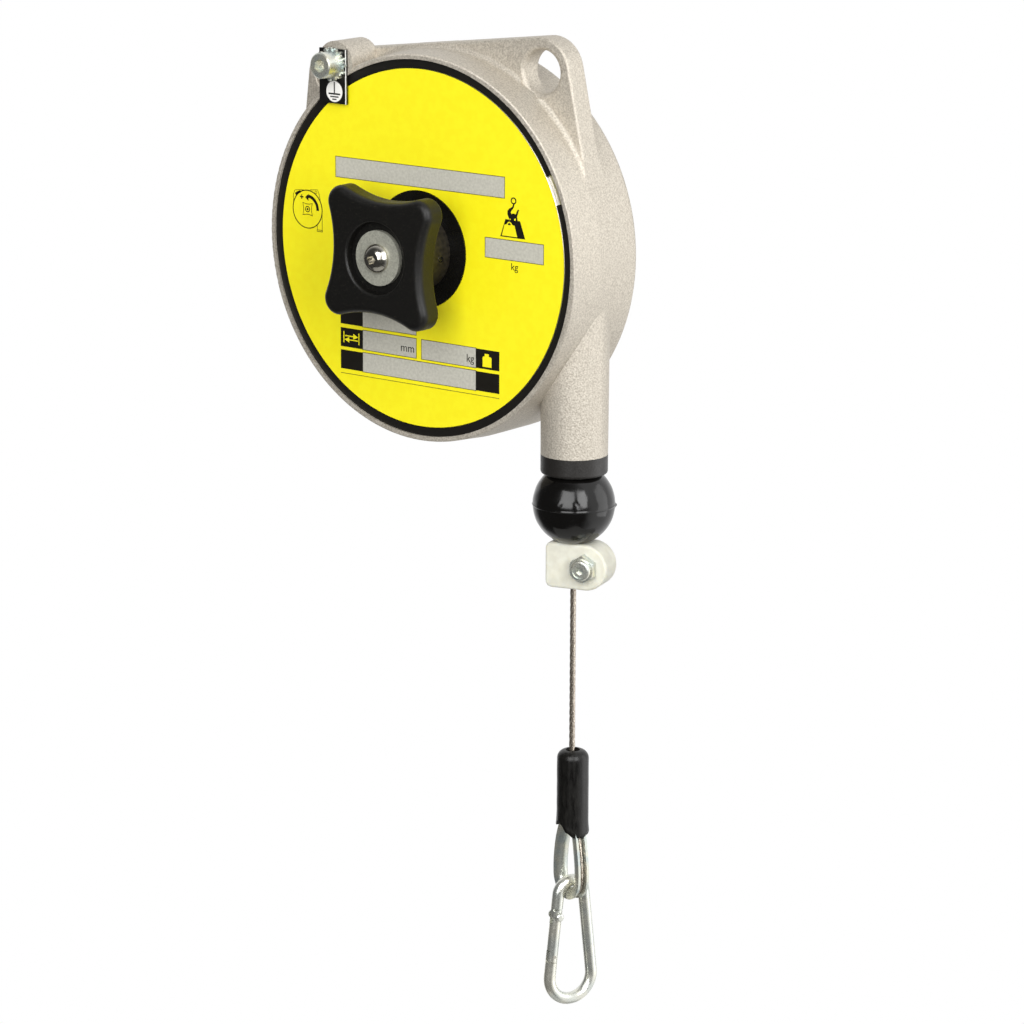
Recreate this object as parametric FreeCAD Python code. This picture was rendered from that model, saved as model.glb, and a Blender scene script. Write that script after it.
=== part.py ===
import FreeCAD, Part
import math
import os

# Spring tool balancer: a die-cast drum housing that hangs from its right ear, a spring drum on an
# adjustable arbor inside it, and a wire rope that ends in a thimble and a snap hook.
# Millimetres. X to the right, Y into the housing, Z up.
# Everything is drawn about the drum axis, with Y = 0 at the label, and is moved at the end
# so that the origin is the centre of the hanging hole.

V = FreeCAD.Vector
AXIS_Y = V(0, 1, 0)
AXIS_Z = V(0, 0, 1)
AXIS = V(0, 0, 0)

# ---- clearances ------------------------------------------------------------------------------
running_gap = 0.05      # radial play of a shaft in its bearing
round_gap = 0.3         # between curved faces of pieces that move past each other
rope_gap = 0.3          # radial play of the rope in a bush or a ball
fit_gap = 0.1           # a loose fit between fixed pieces
past = 1.0              # how far a cutting or joining shape runs past the face that it meets

# ---- housing ---------------------------------------------------------------------------------
# The cavity is the driving size. Walls, seats and ears are set outwards from it, the drum inwards.
cavity_r = 60.5
cover_ledge = 1.5
mouth_wall = 1.6
draft = 1.0
rim_y = -0.6
back_wall = 3.0
back_edge_r = 2.0
rim_edge_r = 0.5
floor_corner_r = 2.0
groove_depth = 0.7
ring_sunk = 0.3
ring_thickness = 1.2
ring_width = 3.4
ring_gap_start = 19.8
ring_gap_end = 29.2
rear_boss_r = 12.0
rear_boss_height = 3.5
rear_boss_skin = 1.5
rear_boss_draft = 0.6
rear_boss_edge_r = 0.8
rear_rib_count = 6
rear_rib_first = 30.0
rear_rib_setback = 10.5
rear_rib_height = 2.4
rear_rib_tip_height = 0.6
rear_rib_foot = 2.0
rear_rib_width = 2.2

# ---- mounting flange with its two ears -------------------------------------------------------
flange_front_y = 12.0
flange_thickness = 8.5
flange_edge_r = 0.9
flange_root_fillet = 1.6
fillet_bulge = 0.3      # how far a fillet's middle stands off its corner, as a share of its radius
hang_x = 40.3
hang_hole_r = 7.0
hang_hole_gap = 0.68
hang_ear_wall = 4.1
hang_hole_edge_r = 1.6
safety_x = -49.0
safety_hole_r = 5.0
safety_hole_gap = 1.56
safety_ear_wall = 3.5
safety_hole_edge_r = 0.8

# ---- earthing point --------------------------------------------------------------------------
m5_r = 2.5
m5_head_r = 4.25
m5_head_height = 5.0
m5_head_chamfer = 0.4
m5_socket_af = 4.0
m5_socket_depth = 2.6
ground_x = -34.8
ground_hole_gap = 0.45
ground_boss_wall = 4.9
ground_plate_thickness = 0.8
ground_plate_left = 6.2
ground_plate_right = 5.3
ground_plate_up = 4.9
ground_plate_down = 13.0
tooth_washer_r = 5.5
tooth_washer_inner_r = 4.3
tooth_washer_thickness = 1.1
tooth_count = 14
ground_screw_depth = 8.0

# ---- rope outlet -----------------------------------------------------------------------------
outlet_r = 11.0
outlet_top_r = 11.3
outlet_drop = 0.1
outlet_wall = 3.0
bush_height = 6.4
bush_edge_r = 1.0
bush_spigot = 12.0
bush_funnel_depth = 6.0
bush_funnel_width = 4.0

# ---- adjuster --------------------------------------------------------------------------------
arbor_r = 6.0
arbor_collar = 2.0
arbor_end_gap = 0.2
hub_r = 13.0
hub_pin_r = 1.1
hub_pin_y = -5.1
hub_pin_angle = -5.3
hub_pin_proud = 0.15
adjuster_wall = 3.0
adjuster_flange_width = 3.3
adjuster_flange_thickness = 1.5
adjuster_depth = 7.0
adjuster_proud = 0.3
knob_back_y = -15.0
knob_thickness = 8.0
knob_half_width = 21.4
knob_lobe_r = 5.4
knob_hollow = 2.9
knob_edge_r = 2.4
knob_back_edge_r = 1.2
knob_turn = -3.0
knob_recess_room = 2.8
knob_recess_depth = 3.1
knob_recess_edge_r = 0.9
washer_r = 9.0
washer_thickness = 1.6
m6_r = 3.0
knob_screw_head_r = 4.7
knob_screw_head_height = 3.0
knob_screw_dome_r = 5.4
knob_screw_dome_depth = 1.7
knob_screw_length = 14.0
star_recess_r = 2.0
star_recess_valley_r = 1.36
star_recess_depth = 1.6

# ---- ratchet ---------------------------------------------------------------------------------
ratchet_room = 0.6
ratchet_thickness = 3.0
ratchet_tip_r = 14.0
ratchet_tooth_depth = 2.2
ratchet_tooth_lean = 0.12
ratchet_teeth = 12
pawl_pin_r = 2.0
pawl_pin_radius = 27.0
pawl_pin_angle = 150.0
pawl_pin_proud = 0.2
pawl_hub_wall = 2.5
pawl_nose_r = 1.4
pawl_nose_angle = 105.0
pawl_spring_wall = 1.4
pawl_spring_wire = 0.8
pawl_spring_leg = 9.0
pawl_spring_leg_drop = 2.0

# ---- cover -----------------------------------------------------------------------------------
cover_edge_thickness = 2.5
cover_skin = 2.6
cover_rim_width = 6.0
cover_rim_slope = 2.0
cover_land_edge = 0.4
cover_boss_wall = 4.0
cover_boss_slope = 2.0
label_thickness = 0.3
label_margin = 0.2

# ---- drum and power spring -------------------------------------------------------------------
drum_rim_room = 3.1
drum_front_room = 0.9
drum_back_room = 0.8
drum_flange = 2.0
drum_flange_rise = 5.9
drum_width = 17.2
drum_web = 3.0
drum_shell = 4.5
drum_taper = 0.3
drum_cup_corner_r = 2.0
drum_hub_r = 12.0
drum_hub_length = 4.5
drum_hub_corner_r = 1.0
drum_bush_wall = 2.0
rope_r = 1.0
spring_cover_seat = 2.0
spring_cover_thickness = 1.5
spring_side_room = 0.9
spring_strip = 1.0
spring_half_turns = 7

# ---- rope, buffer and rope end ---------------------------------------------------------------
ball_r = 13.5
ball_seat_depth = 3.2
ball_flat_depth = 1.0
clamp_height = 15.3
clamp_depth = 10.0
clamp_left = 8.05
clamp_screw_offset = 5.75
clamp_corner_r = 2.2
clamp_edge_r = 0.9
clamp_turn = 15.0
nut_af = 8.0
nut_hex_height = 3.4
nut_corner_cut = 0.5
nut_corner_height = 0.6
nut_collar_r = 3.5
nut_collar_edge_r = 0.8
nut_height = 5.0
nut_recess = 0.6
clamp_screw_short = 0.4
clamp_screw_tip_af = 2.5
clamp_screw_tip_depth = 1.2
rope_drop = 121.25
tail_offset = 2.1
ferrule_rise = 35.55
ferrule_length = 10.6
ferrule_wall = 0.9
tail_proud = 0.3
sleeve_rise = 24.15
sleeve_r = 5.3
sleeve_wall = 0.9
sleeve_cap = 3.4
sleeve_dome_r = 3.0
sleeve_offset = 0.6
sleeve_hole_r = 2.0
loop_turn = -20.0

# Route of the rope from the clamp, round the thimble and back through the ferrule,
# as sideways distance from the rope axis and height above the loop's lowest corners.
loop_route = [
    (0.0, rope_drop),
    (0.0, 29.65),
    (-4.7, 17.95),
    (-5.9, 9.95),
    (-5.75, 3.55),
    (-2.42, 0.0),
    (2.42, 0.0),
    (5.75, 3.55),
    (5.9, 9.95),
    (4.7, 17.95),
    (tail_offset, 29.15),
    (tail_offset, ferrule_rise + ferrule_length + tail_proud),
]
bend_share = 0.45
thimble_first = 1
thimble_last = 10
thimble_trough_r = 1.2
thimble_sheet = 0.85
thimble_flange = 1.85
thimble_top_gap = 0.4

# ---- snap hook -------------------------------------------------------------------------------
hook_wire_r = 2.0
hook_eye_r = 4.9
hook_bow_r = 8.0
hook_reach = 28.8
hook_turn = 67.0
gate_gap = 0.2
gate_r = 1.95
gate_tongue = 1.5
gate_tongue_width = 3.4
nose_tongue_narrower = 0.4
nose_tongue_rise = 1.2
nose_tongue_room = 0.8
gate_rivet_r = 0.75
gate_rivet_head_r = 1.5
gate_rivet_head = 1.0
gate_rivet_round = 0.8
gate_pivot_rise = 22.1
gate_foot_rise = 6.3
gate_end_r = 2.4
gate_pin_r = 0.55
gate_pin_rise = 1.9
gate_spring_r = 0.6
gate_spring_length = 7.0
gate_spring_floor = 1.0

# ---- sizes that follow from those above ------------------------------------------------------
# Housing, outwards from the cavity.
seat_r = cavity_r + cover_ledge
mouth_outer_r = seat_r + mouth_wall
housing_r = mouth_outer_r + draft
flange_back_y = flange_front_y + flange_thickness
label_land = label_thickness
ring_front_y = ring_sunk
ring_back_y = ring_front_y + ring_thickness
seat_y = ring_back_y + cover_edge_thickness
groove_r = seat_r + groove_depth
ring_inner_r = groove_r - fit_gap - ring_width
cover_land_r = ring_inner_r - fit_gap
label_r = cover_land_r - label_margin
rear_rib_reach = cavity_r - rear_rib_setback

# The holes in the ears and the earthing screw stand just outside the drum's wall.
hang_z = math.sqrt((housing_r + hang_hole_gap + hang_hole_r) ** 2 - hang_x ** 2)
hang_ear_r = hang_hole_r + hang_ear_wall
safety_z = math.sqrt((housing_r + safety_hole_gap + safety_hole_r) ** 2 - safety_x ** 2)
safety_ear_r = safety_hole_r + safety_ear_wall
ground_z = math.sqrt((housing_r + ground_hole_gap + m5_r) ** 2 - ground_x ** 2)
ground_boss_r = m5_r + ground_boss_wall
plate_back_y = rim_y - fit_gap
plate_front_y = plate_back_y - ground_plate_thickness
ground_head_y = plate_front_y - 2 * tooth_washer_thickness

# Adjuster, from the arbor outwards and from the knob inwards.
bearing_r = arbor_r + running_gap
adjuster_sleeve_r = hub_r + adjuster_wall
adjuster_flange_r = adjuster_sleeve_r + adjuster_flange_width
knob_front_y = knob_back_y - knob_thickness
knob_waist = knob_half_width - knob_hollow
knob_recess_r = washer_r + knob_recess_room
recess_floor_y = knob_front_y + knob_recess_depth
washer_front_y = recess_floor_y - washer_thickness
ratchet_y = adjuster_depth + ratchet_room
ratchet_back_y = ratchet_y + ratchet_thickness
ratchet_root_r = ratchet_tip_r - ratchet_tooth_depth
pawl_hub_r = pawl_pin_r + pawl_hub_wall
pawl_spring_r = pawl_pin_r + pawl_spring_wall

# Drum, inwards from the cavity, and the depth that it needs.
drum_flange_r = cavity_r - drum_rim_room
outlet_x = drum_flange_r - drum_flange_rise
drum_cup_r = outlet_x - rope_r - drum_shell
spring_cover_r = drum_cup_r + spring_cover_seat
drum_front_y = ratchet_back_y + drum_front_room
drum_back_y = drum_front_y + drum_width
drum_bush_r = bearing_r + drum_bush_wall
groove_front_y = drum_front_y + drum_flange
groove_back_y = drum_back_y - drum_flange
spring_width = drum_width - drum_hub_length - spring_cover_thickness - round_gap - spring_side_room
cavity_back_y = drum_back_y + drum_back_room
back_y = cavity_back_y + back_wall
arbor_back_y = back_y + rear_boss_height - rear_boss_skin

# Rope, from the drum down to the hook.
outlet_y = flange_front_y + flange_thickness / 2
outlet_bore_r = outlet_r - outlet_wall
outlet_bottom_z = -mouth_outer_r - outlet_drop
outlet_top_z = -outlet_bore_r
bush_bottom_z = outlet_bottom_z - bush_height
rope_bore_r = rope_r + rope_gap
ball_z = bush_bottom_z + ball_seat_depth - ball_r
ball_flat_z = ball_z - ball_r + ball_flat_depth
clamp_bottom_z = ball_flat_z - clamp_height
clamp_front_y = outlet_y - clamp_depth / 2
clamp_back_y = outlet_y + clamp_depth / 2
clamp_screw_x = outlet_x + clamp_screw_offset
clamp_screw_z = ball_flat_z - clamp_height / 2
clamp_screw_length = clamp_depth - nut_recess + nut_height - clamp_screw_short
loop_bottom_z = ball_flat_z - rope_drop
ferrule_bottom_z = loop_bottom_z + ferrule_rise
ferrule_top_z = ferrule_bottom_z + ferrule_length
sleeve_bottom_z = loop_bottom_z + sleeve_rise
sleeve_top_z = ferrule_top_z + tail_proud + round_gap + sleeve_cap
thimble_top_z = sleeve_bottom_z - thimble_top_gap
saddle_z = loop_bottom_z + thimble_trough_r + thimble_sheet
hook_eye_z = saddle_z + round_gap + hook_wire_r - hook_eye_r
hook_bow_z = hook_eye_z - hook_reach
gate_pivot_z = hook_bow_z + gate_pivot_rise
gate_top_z = gate_pivot_z + gate_end_r
gate_bottom_z = hook_bow_z + gate_foot_rise
nose_top_z = gate_bottom_z + gate_pin_rise + nose_tongue_rise


# ---- drawing helpers -------------------------------------------------------------------------
def cylinder_y(radius, start, end, x=0.0, z=0.0):
    """A round bar along Y."""
    return Part.makeCylinder(radius, end - start, V(x, start, z), AXIS_Y)


def cylinder_z(radius, bottom, top, x=outlet_x, y=outlet_y):
    """A round bar along Z."""
    return Part.makeCylinder(radius, top - bottom, V(x, y, bottom), AXIS_Z)


def ring_y(outer, inner, start, end, x=0.0, z=0.0):
    """A plain ring along Y."""
    return cylinder_y(outer, start, end, x, z).cut(cylinder_y(inner, start, end, x, z))


def polar(radius, degrees):
    """X and Z of a place at that radius and angle."""
    turn = math.radians(degrees)
    return radius * math.cos(turn), radius * math.sin(turn)


def unit(a, b):
    """Direction from a to b."""
    return (b - a).normalize()


def wire_through(points, radii, closed):
    """Straight lines between points, with each corner rounded to its radius."""
    count = len(points)
    edges = []
    last = None
    first = None
    for i, here in enumerate(points):
        if radii[i] == 0 or (not closed and i in (0, count - 1)):
            start, end = here, here
        else:
            to_last = unit(here, points[i - 1])
            to_next = unit(here, points[(i + 1) % count])
            half = to_last.getAngle(to_next) / 2
            back_off = radii[i] / math.tan(half)
            start = here + to_last * back_off
            end = here + to_next * back_off
            middle_line = (to_last + to_next).normalize()
            centre = here + middle_line * (radii[i] / math.sin(half))
            middle = centre - middle_line * radii[i]
        if last is not None and (start - last).Length > 1e-6:
            edges.append(Part.LineSegment(last, start).toShape())
        if start is not end:
            edges.append(Part.Arc(start, middle, end).toShape())
        last = end
        if first is None:
            first = start
    if closed:
        edges.append(Part.LineSegment(last, first).toShape())
    return Part.Wire(edges)


def face_from(profile, place):
    """A face from corners (a, b) or (a, b, corner radius), set in space by place(a, b)."""
    points = [place(corner[0], corner[1]) for corner in profile]
    radii = [corner[2] if len(corner) > 2 else 0 for corner in profile]
    return Part.Face(wire_through(points, radii, True))


def turned(profile):
    """A piece turned about the drum axis, from corners (radius, y, corner radius)."""
    face = face_from(profile, lambda radius, y: V(radius, y, 0))
    return face.revolve(AXIS, AXIS_Y, 360)


def turned_on_rope(profile):
    """A piece turned about the rope axis, from corners (radius, z, corner radius)."""
    face = face_from(profile, lambda radius, z: V(outlet_x + radius, outlet_y, z))
    return face.revolve(V(outlet_x, outlet_y, 0), AXIS_Z, 360)


def around_circles(circles, y):
    """The tight outline round circles (x, z, radius), listed anticlockwise, at depth y."""
    count = len(circles)
    leaving = []
    for i in range(count):
        x0, z0, r0 = circles[i]
        x1, z1, r1 = circles[(i + 1) % count]
        heading = math.atan2(z1 - z0, x1 - x0)
        leaving.append(heading - math.acos((r0 - r1) / math.hypot(x1 - x0, z1 - z0)))
    edges = []
    starts = []
    ends = []
    for i, (x, z, radius) in enumerate(circles):
        enter = leaving[i - 1]
        leave = leaving[i]
        while leave < enter:
            leave += 2 * math.pi
        corners = []
        for angle in (enter, (enter + leave) / 2, leave):
            corners.append(V(x + radius * math.cos(angle), y, z + radius * math.sin(angle)))
        edges.append(Part.Arc(*corners).toShape())
        starts.append(corners[0])
        ends.append(corners[2])
    for i in range(count):
        edges.append(Part.LineSegment(ends[i], starts[(i + 1) % count]).toShape())
    return Part.Face(Part.Wire(Part.__sortEdges__(edges)))


def edges_at(shape, along, level):
    """The edges that lie wholly at one level along X, Y or Z."""
    found = []
    for edge in shape.Edges:
        box = edge.BoundBox
        low = getattr(box, along + "Min")
        high = getattr(box, along + "Max")
        if abs(low - level) < 1e-4 and abs(high - level) < 1e-4:
            found.append(edge)
    return found


def hex_bar(across_flats, start, end, x, z):
    """A hexagon bar along Y."""
    corner_r = across_flats / math.sqrt(3)
    corners = []
    for k in range(6):
        angle = math.radians(60 * k + 30)
        corners.append(V(x + corner_r * math.cos(angle), start, z + corner_r * math.sin(angle)))
    corners.append(corners[0])
    return Part.Face(Part.makePolygon(corners)).extrude(V(0, end - start, 0))


def join(shapes):
    """One solid from touching solids."""
    whole = shapes[0]
    for shape in shapes[1:]:
        whole = whole.fuse(shape)
    return whole.removeSplitter()


# ---- housing ---------------------------------------------------------------------------------
def drum_wall():
    """The outside of the drum: drafted to its parting line, round at the back edge."""
    profile = [
        (0, rim_y),
        (mouth_outer_r, rim_y, rim_edge_r),
        (housing_r, flange_front_y),
        (housing_r, back_y, back_edge_r),
        (0, back_y),
    ]
    return turned(profile)


def ear_outline(y):
    """The flange is the tight outline round the drum and its two ears."""
    root_r = mouth_outer_r - round_gap
    circles = [(0, 0, root_r), (hang_x, hang_z, hang_ear_r), (safety_x, safety_z, safety_ear_r)]
    return around_circles(circles, y)


def flange():
    """The flat flange, soft at its edges and at the mouths of its two holes."""
    plate = ear_outline(flange_front_y).extrude(V(0, flange_thickness, 0))
    rims = edges_at(plate, "Y", flange_front_y) + edges_at(plate, "Y", flange_back_y)
    plate = plate.makeFillet(flange_edge_r, rims)
    holes = [(hang_x, hang_z, hang_hole_r, hang_hole_edge_r)]
    holes.append((safety_x, safety_z, safety_hole_r, safety_hole_edge_r))
    for x, z, radius, edge_r in holes:
        plate = plate.cut(cylinder_y(radius, flange_front_y, flange_back_y, x, z))
        mouths = []
        for edge in plate.Edges:
            curve = edge.Curve
            if isinstance(curve, Part.Circle) and abs(curve.Radius - radius) < 1e-4:
                if math.hypot(curve.Center.x - x, curve.Center.z - z) < 1e-3:
                    mouths.append(edge)
        plate = plate.makeFillet(edge_r, mouths)
    return plate


def flange_roots():
    """The cast fillet between flange and drum, in front and behind, cut back at the ears' holes."""
    root = flange_root_fillet
    wall_x = housing_r - fit_gap
    hang_room = cylinder_y(hang_hole_r + hang_hole_edge_r, rim_y, back_y, hang_x, hang_z)
    safety_room = cylinder_y(safety_hole_r + safety_hole_edge_r, rim_y, back_y, safety_x, safety_z)
    bands = []
    for face_y, out in ((flange_front_y, -1), (flange_back_y, 1)):
        top = face_y + out * root
        under = face_y - out * past
        inner_top = V(housing_r - root, top, 0)
        wall_top = V(wall_x, top, 0)
        hollow = V(housing_r + root * fillet_bulge, face_y + out * root * fillet_bulge, 0)
        foot = V(housing_r + root, face_y, 0)
        foot_under = V(housing_r + root, under, 0)
        inner_under = V(housing_r - root, under, 0)
        profile = [
            Part.LineSegment(inner_top, wall_top).toShape(),
            Part.Arc(wall_top, hollow, foot).toShape(),
            Part.LineSegment(foot, foot_under).toShape(),
            Part.LineSegment(foot_under, inner_under).toShape(),
            Part.LineSegment(inner_under, inner_top).toShape(),
        ]
        band = Part.Face(Part.Wire(profile)).revolve(AXIS, AXIS_Y, 360)
        keep = ear_outline(min(top, under)).extrude(V(0, root + past, 0))
        bands.append(band.common(keep).cut(hang_room).cut(safety_room))
    return bands


def rear_boss_and_ribs():
    """The bearing boss behind the back wall, and the ribs that carry it."""
    boss_back_y = back_y + rear_boss_height
    boss = [
        (0, back_y - past),
        (rear_boss_r, back_y - past),
        (rear_boss_r - rear_boss_draft, boss_back_y, rear_boss_edge_r),
        (0, boss_back_y),
    ]
    pieces = [turned(boss)]
    rib_start = rear_boss_r - rear_rib_foot
    profile = [
        (rib_start, back_y - past),
        (rib_start, back_y + rear_rib_height),
        (rear_rib_reach, back_y + rear_rib_tip_height),
        (rear_rib_reach + rear_rib_foot, back_y - past),
    ]
    for k in range(rear_rib_count):
        rib = face_from(profile, lambda radius, y: V(radius, y, -rear_rib_width / 2))
        rib = rib.extrude(V(0, 0, rear_rib_width))
        pieces.append(rib.rotate(AXIS, AXIS_Y, k * 360 / rear_rib_count + rear_rib_first))
    return pieces


def outlet_tube():
    """The tapered tube that the rope leaves by, running down beside the drum."""
    height = -outlet_bottom_z
    return Part.makeCone(outlet_r, outlet_top_r, height, V(outlet_x, outlet_y, outlet_bottom_z), AXIS_Z)


def ground_boss():
    """The boss for the earthing screw, cast against the drum wall."""
    return cylinder_y(ground_boss_r, plate_back_y, flange_front_y + past, ground_x, ground_z)


def housing():
    castings = [drum_wall(), flange(), outlet_tube(), ground_boss()]
    body = join(castings + flange_roots() + rear_boss_and_ribs())
    cavity = turned([
        (0, seat_y),
        (cavity_r, seat_y),
        (cavity_r, cavity_back_y, floor_corner_r),
        (0, cavity_back_y),
    ])
    mouth = cylinder_y(seat_r, rim_y - past, seat_y)
    groove = cylinder_y(groove_r, ring_front_y - fit_gap, ring_back_y)
    body = body.cut(cavity).cut(mouth).cut(groove)
    body = body.cut(cylinder_z(outlet_bore_r, outlet_bottom_z, outlet_top_z))
    body = body.cut(cylinder_y(bearing_r, cavity_back_y - past, arbor_back_y + round_gap))
    tapped = cylinder_y(m5_r, plate_back_y, plate_front_y + ground_screw_depth, ground_x, ground_z)
    return body.cut(tapped)


# ---- cover, retaining ring and label ---------------------------------------------------------
def front_cover():
    """A turned disc on the housing's seat, with a raised land for the label and a bearing boss."""
    rim_r = cavity_r - cover_rim_width
    boss_r = adjuster_sleeve_r + cover_boss_wall
    inside = label_land + cover_skin
    profile = [
        (adjuster_sleeve_r, label_land),
        (cover_land_r - cover_land_edge, label_land),
        (cover_land_r, label_land + cover_land_edge),
        (cover_land_r, ring_back_y),
        (seat_r - fit_gap, ring_back_y),
        (seat_r - fit_gap, seat_y),
        (rim_r, seat_y),
        (rim_r - cover_rim_slope, inside),
        (boss_r + cover_boss_slope, inside),
        (boss_r, adjuster_depth),
        (adjuster_sleeve_r, adjuster_depth),
    ]
    flange_seat = adjuster_flange_thickness - adjuster_proud
    disc = turned(profile)
    disc = disc.cut(cylinder_y(adjuster_flange_r + fit_gap, label_land - past, flange_seat))
    x, z = pawl_pin_place()
    return disc.cut(cylinder_y(pawl_pin_r, label_land + past, seat_y, x, z))


def cover_retaining_ring():
    """A flat internal retaining ring, open between its two plain ends."""
    ring = ring_y(groove_r - fit_gap, ring_inner_r, ring_front_y, ring_back_y)
    gap = []
    for angle in (ring_gap_start, ring_gap_end):
        turn = math.radians(angle)
        gap.append(V(2 * housing_r * math.cos(turn), ring_front_y, 2 * housing_r * math.sin(turn)))
    corners = [V(0, ring_front_y, 0), gap[0], gap[1], V(0, ring_front_y, 0)]
    return ring.cut(Part.Face(Part.makePolygon(corners)).extrude(V(0, ring_thickness, 0)))


def front_label():
    return ring_y(label_r, adjuster_flange_r + fit_gap, label_land - label_thickness, label_land)


# ---- earthing point --------------------------------------------------------------------------
def ground_plate():
    profile = [
        (ground_x - ground_plate_left, ground_z - ground_plate_down),
        (ground_x + ground_plate_right, ground_z - ground_plate_down),
        (ground_x + ground_plate_right, ground_z + ground_plate_up),
        (ground_x - ground_plate_left, ground_z + ground_plate_up),
    ]
    plate = face_from(profile, lambda x, z: V(x, plate_front_y, z))
    plate = plate.extrude(V(0, ground_plate_thickness, 0))
    return plate.cut(cylinder_y(m5_r, plate_front_y, plate_back_y, ground_x, ground_z))


def tooth_washer(start, phase):
    """A flat washer with teeth round its outside."""
    corners = []
    for k in range(4 * tooth_count):
        radius = tooth_washer_r if k % 4 in (1, 2) else tooth_washer_inner_r
        x, z = polar(radius, 360 * (k + phase) / (4 * tooth_count))
        corners.append(V(ground_x + x, start, ground_z + z))
    corners.append(corners[0])
    star = Part.Face(Part.makePolygon(corners)).extrude(V(0, tooth_washer_thickness, 0))
    return star.cut(cylinder_y(m5_r, start, start + tooth_washer_thickness, ground_x, ground_z))


def ground_tooth_washers():
    front = tooth_washer(ground_head_y, 0)
    back = tooth_washer(ground_head_y + tooth_washer_thickness, 2)
    return Part.makeCompound([front, back])


def socket_screw(head_start, head_end, tip, x, z):
    """A socket head cap screw; the socket opens at head_start."""
    head = cylinder_y(m5_head_r, min(head_start, head_end), max(head_start, head_end), x, z)
    head = head.makeChamfer(m5_head_chamfer, edges_at(head, "Y", head_start))
    shank = cylinder_y(m5_r, min(head_end, tip), max(head_end, tip), x, z)
    inward = m5_socket_depth if head_end > head_start else -m5_socket_depth
    socket = hex_bar(m5_socket_af, head_start, head_start + inward, x, z)
    return head.fuse(shank).cut(socket)


def ground_screw():
    tip = plate_front_y + ground_screw_depth
    return socket_screw(ground_head_y - m5_head_height, ground_head_y, tip, ground_x, ground_z)


# ---- rope outlet bush ------------------------------------------------------------------------
def rope_outlet_bush():
    """A moulded collar under the outlet tube, with a spigot up the tube and a seat for the ball."""
    spigot_r = outlet_bore_r - fit_gap
    profile = [
        (rope_bore_r, bush_bottom_z),
        (outlet_r, bush_bottom_z, bush_edge_r),
        (outlet_r, outlet_bottom_z),
        (spigot_r, outlet_bottom_z),
        (spigot_r, outlet_bottom_z + bush_spigot),
        (rope_bore_r + bush_funnel_width, outlet_bottom_z + bush_spigot),
        (rope_bore_r, outlet_bottom_z + bush_spigot - bush_funnel_depth),
    ]
    seat = Part.makeSphere(ball_r + round_gap, V(outlet_x, outlet_y, ball_z))
    return turned_on_rope(profile).cut(seat)


# ---- adjuster: arbor, hub and knob -----------------------------------------------------------
def adjuster_bush():
    """The flanged plastic bush that the hub turns in."""
    bore_r = hub_r + running_gap
    front = -adjuster_proud
    seat = front + adjuster_flange_thickness
    flange_disc = ring_y(adjuster_flange_r, bore_r, front, seat)
    return join([flange_disc, ring_y(adjuster_sleeve_r, bore_r, seat, adjuster_depth)])


def arbor():
    """The shaft through the housing, tapped for the knob screw, with a collar for the drum."""
    shaft = cylinder_y(arbor_r, recess_floor_y + arbor_end_gap, arbor_back_y)
    collar = cylinder_y(arbor_r + arbor_collar, ratchet_back_y, drum_front_y - fit_gap)
    shaft = shaft.fuse(collar)
    shaft = shaft.cut(cylinder_y(m6_r, knob_front_y, washer_front_y + knob_screw_length))
    return shaft.cut(hub_pin())


def hub_pin():
    """The cross pin that locks the hub to the arbor."""
    turn = math.radians(hub_pin_angle)
    along = V(math.cos(turn), 0, math.sin(turn))
    reach = hub_r + hub_pin_proud
    return Part.makeCylinder(hub_pin_r, 2 * reach, V(0, hub_pin_y, 0) - along * reach, along)


def hub():
    return ring_y(hub_r, arbor_r, knob_back_y, ratchet_y).cut(hub_pin())


def knob():
    """The four-lobed hand knob: round lobes joined by hollow sides, with a sunk face for the washer."""
    reach = knob_half_width - knob_lobe_r
    off_lobe = knob_waist - reach
    hollow_r = (reach ** 2 + off_lobe ** 2 - knob_lobe_r ** 2) / (2 * (knob_lobe_r - off_lobe))
    hollow_x = knob_waist + hollow_r
    share = hollow_r / (hollow_r + knob_lobe_r)
    touch = V(hollow_x + share * (reach - hollow_x), knob_back_y, share * reach)
    waist = V(knob_waist, knob_back_y, 0)
    tip = reach + knob_lobe_r / math.sqrt(2)
    edges = []
    for k in range(4):
        side = Part.Arc(V(touch.x, touch.y, -touch.z), waist, touch).toShape()
        lobe_end = V(touch.z, touch.y, touch.x)
        lobe = Part.Arc(touch, V(tip, knob_back_y, tip), lobe_end).toShape()
        for edge in (side, lobe):
            edges.append(edge.rotate(AXIS, AXIS_Y, -90 * k))
    body = Part.Face(Part.Wire(Part.__sortEdges__(edges))).extrude(V(0, -knob_thickness, 0))
    body = body.makeFillet(knob_edge_r, edges_at(body, "Y", knob_front_y))
    body = body.makeFillet(knob_back_edge_r, edges_at(body, "Y", knob_back_y))
    body = body.cut(cylinder_y(knob_recess_r, knob_front_y - past, recess_floor_y))
    lips = []
    for edge in edges_at(body, "Y", knob_front_y):
        if isinstance(edge.Curve, Part.Circle) and abs(edge.Curve.Radius - knob_recess_r) < 1e-4:
            lips.append(edge)
    body = body.makeFillet(knob_recess_edge_r, lips)
    body = body.cut(cylinder_y(arbor_r, recess_floor_y - past, knob_back_y + past))
    return body.rotate(AXIS, AXIS_Y, -knob_turn)


def knob_washer():
    return ring_y(washer_r, m6_r, washer_front_y, recess_floor_y)


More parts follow.
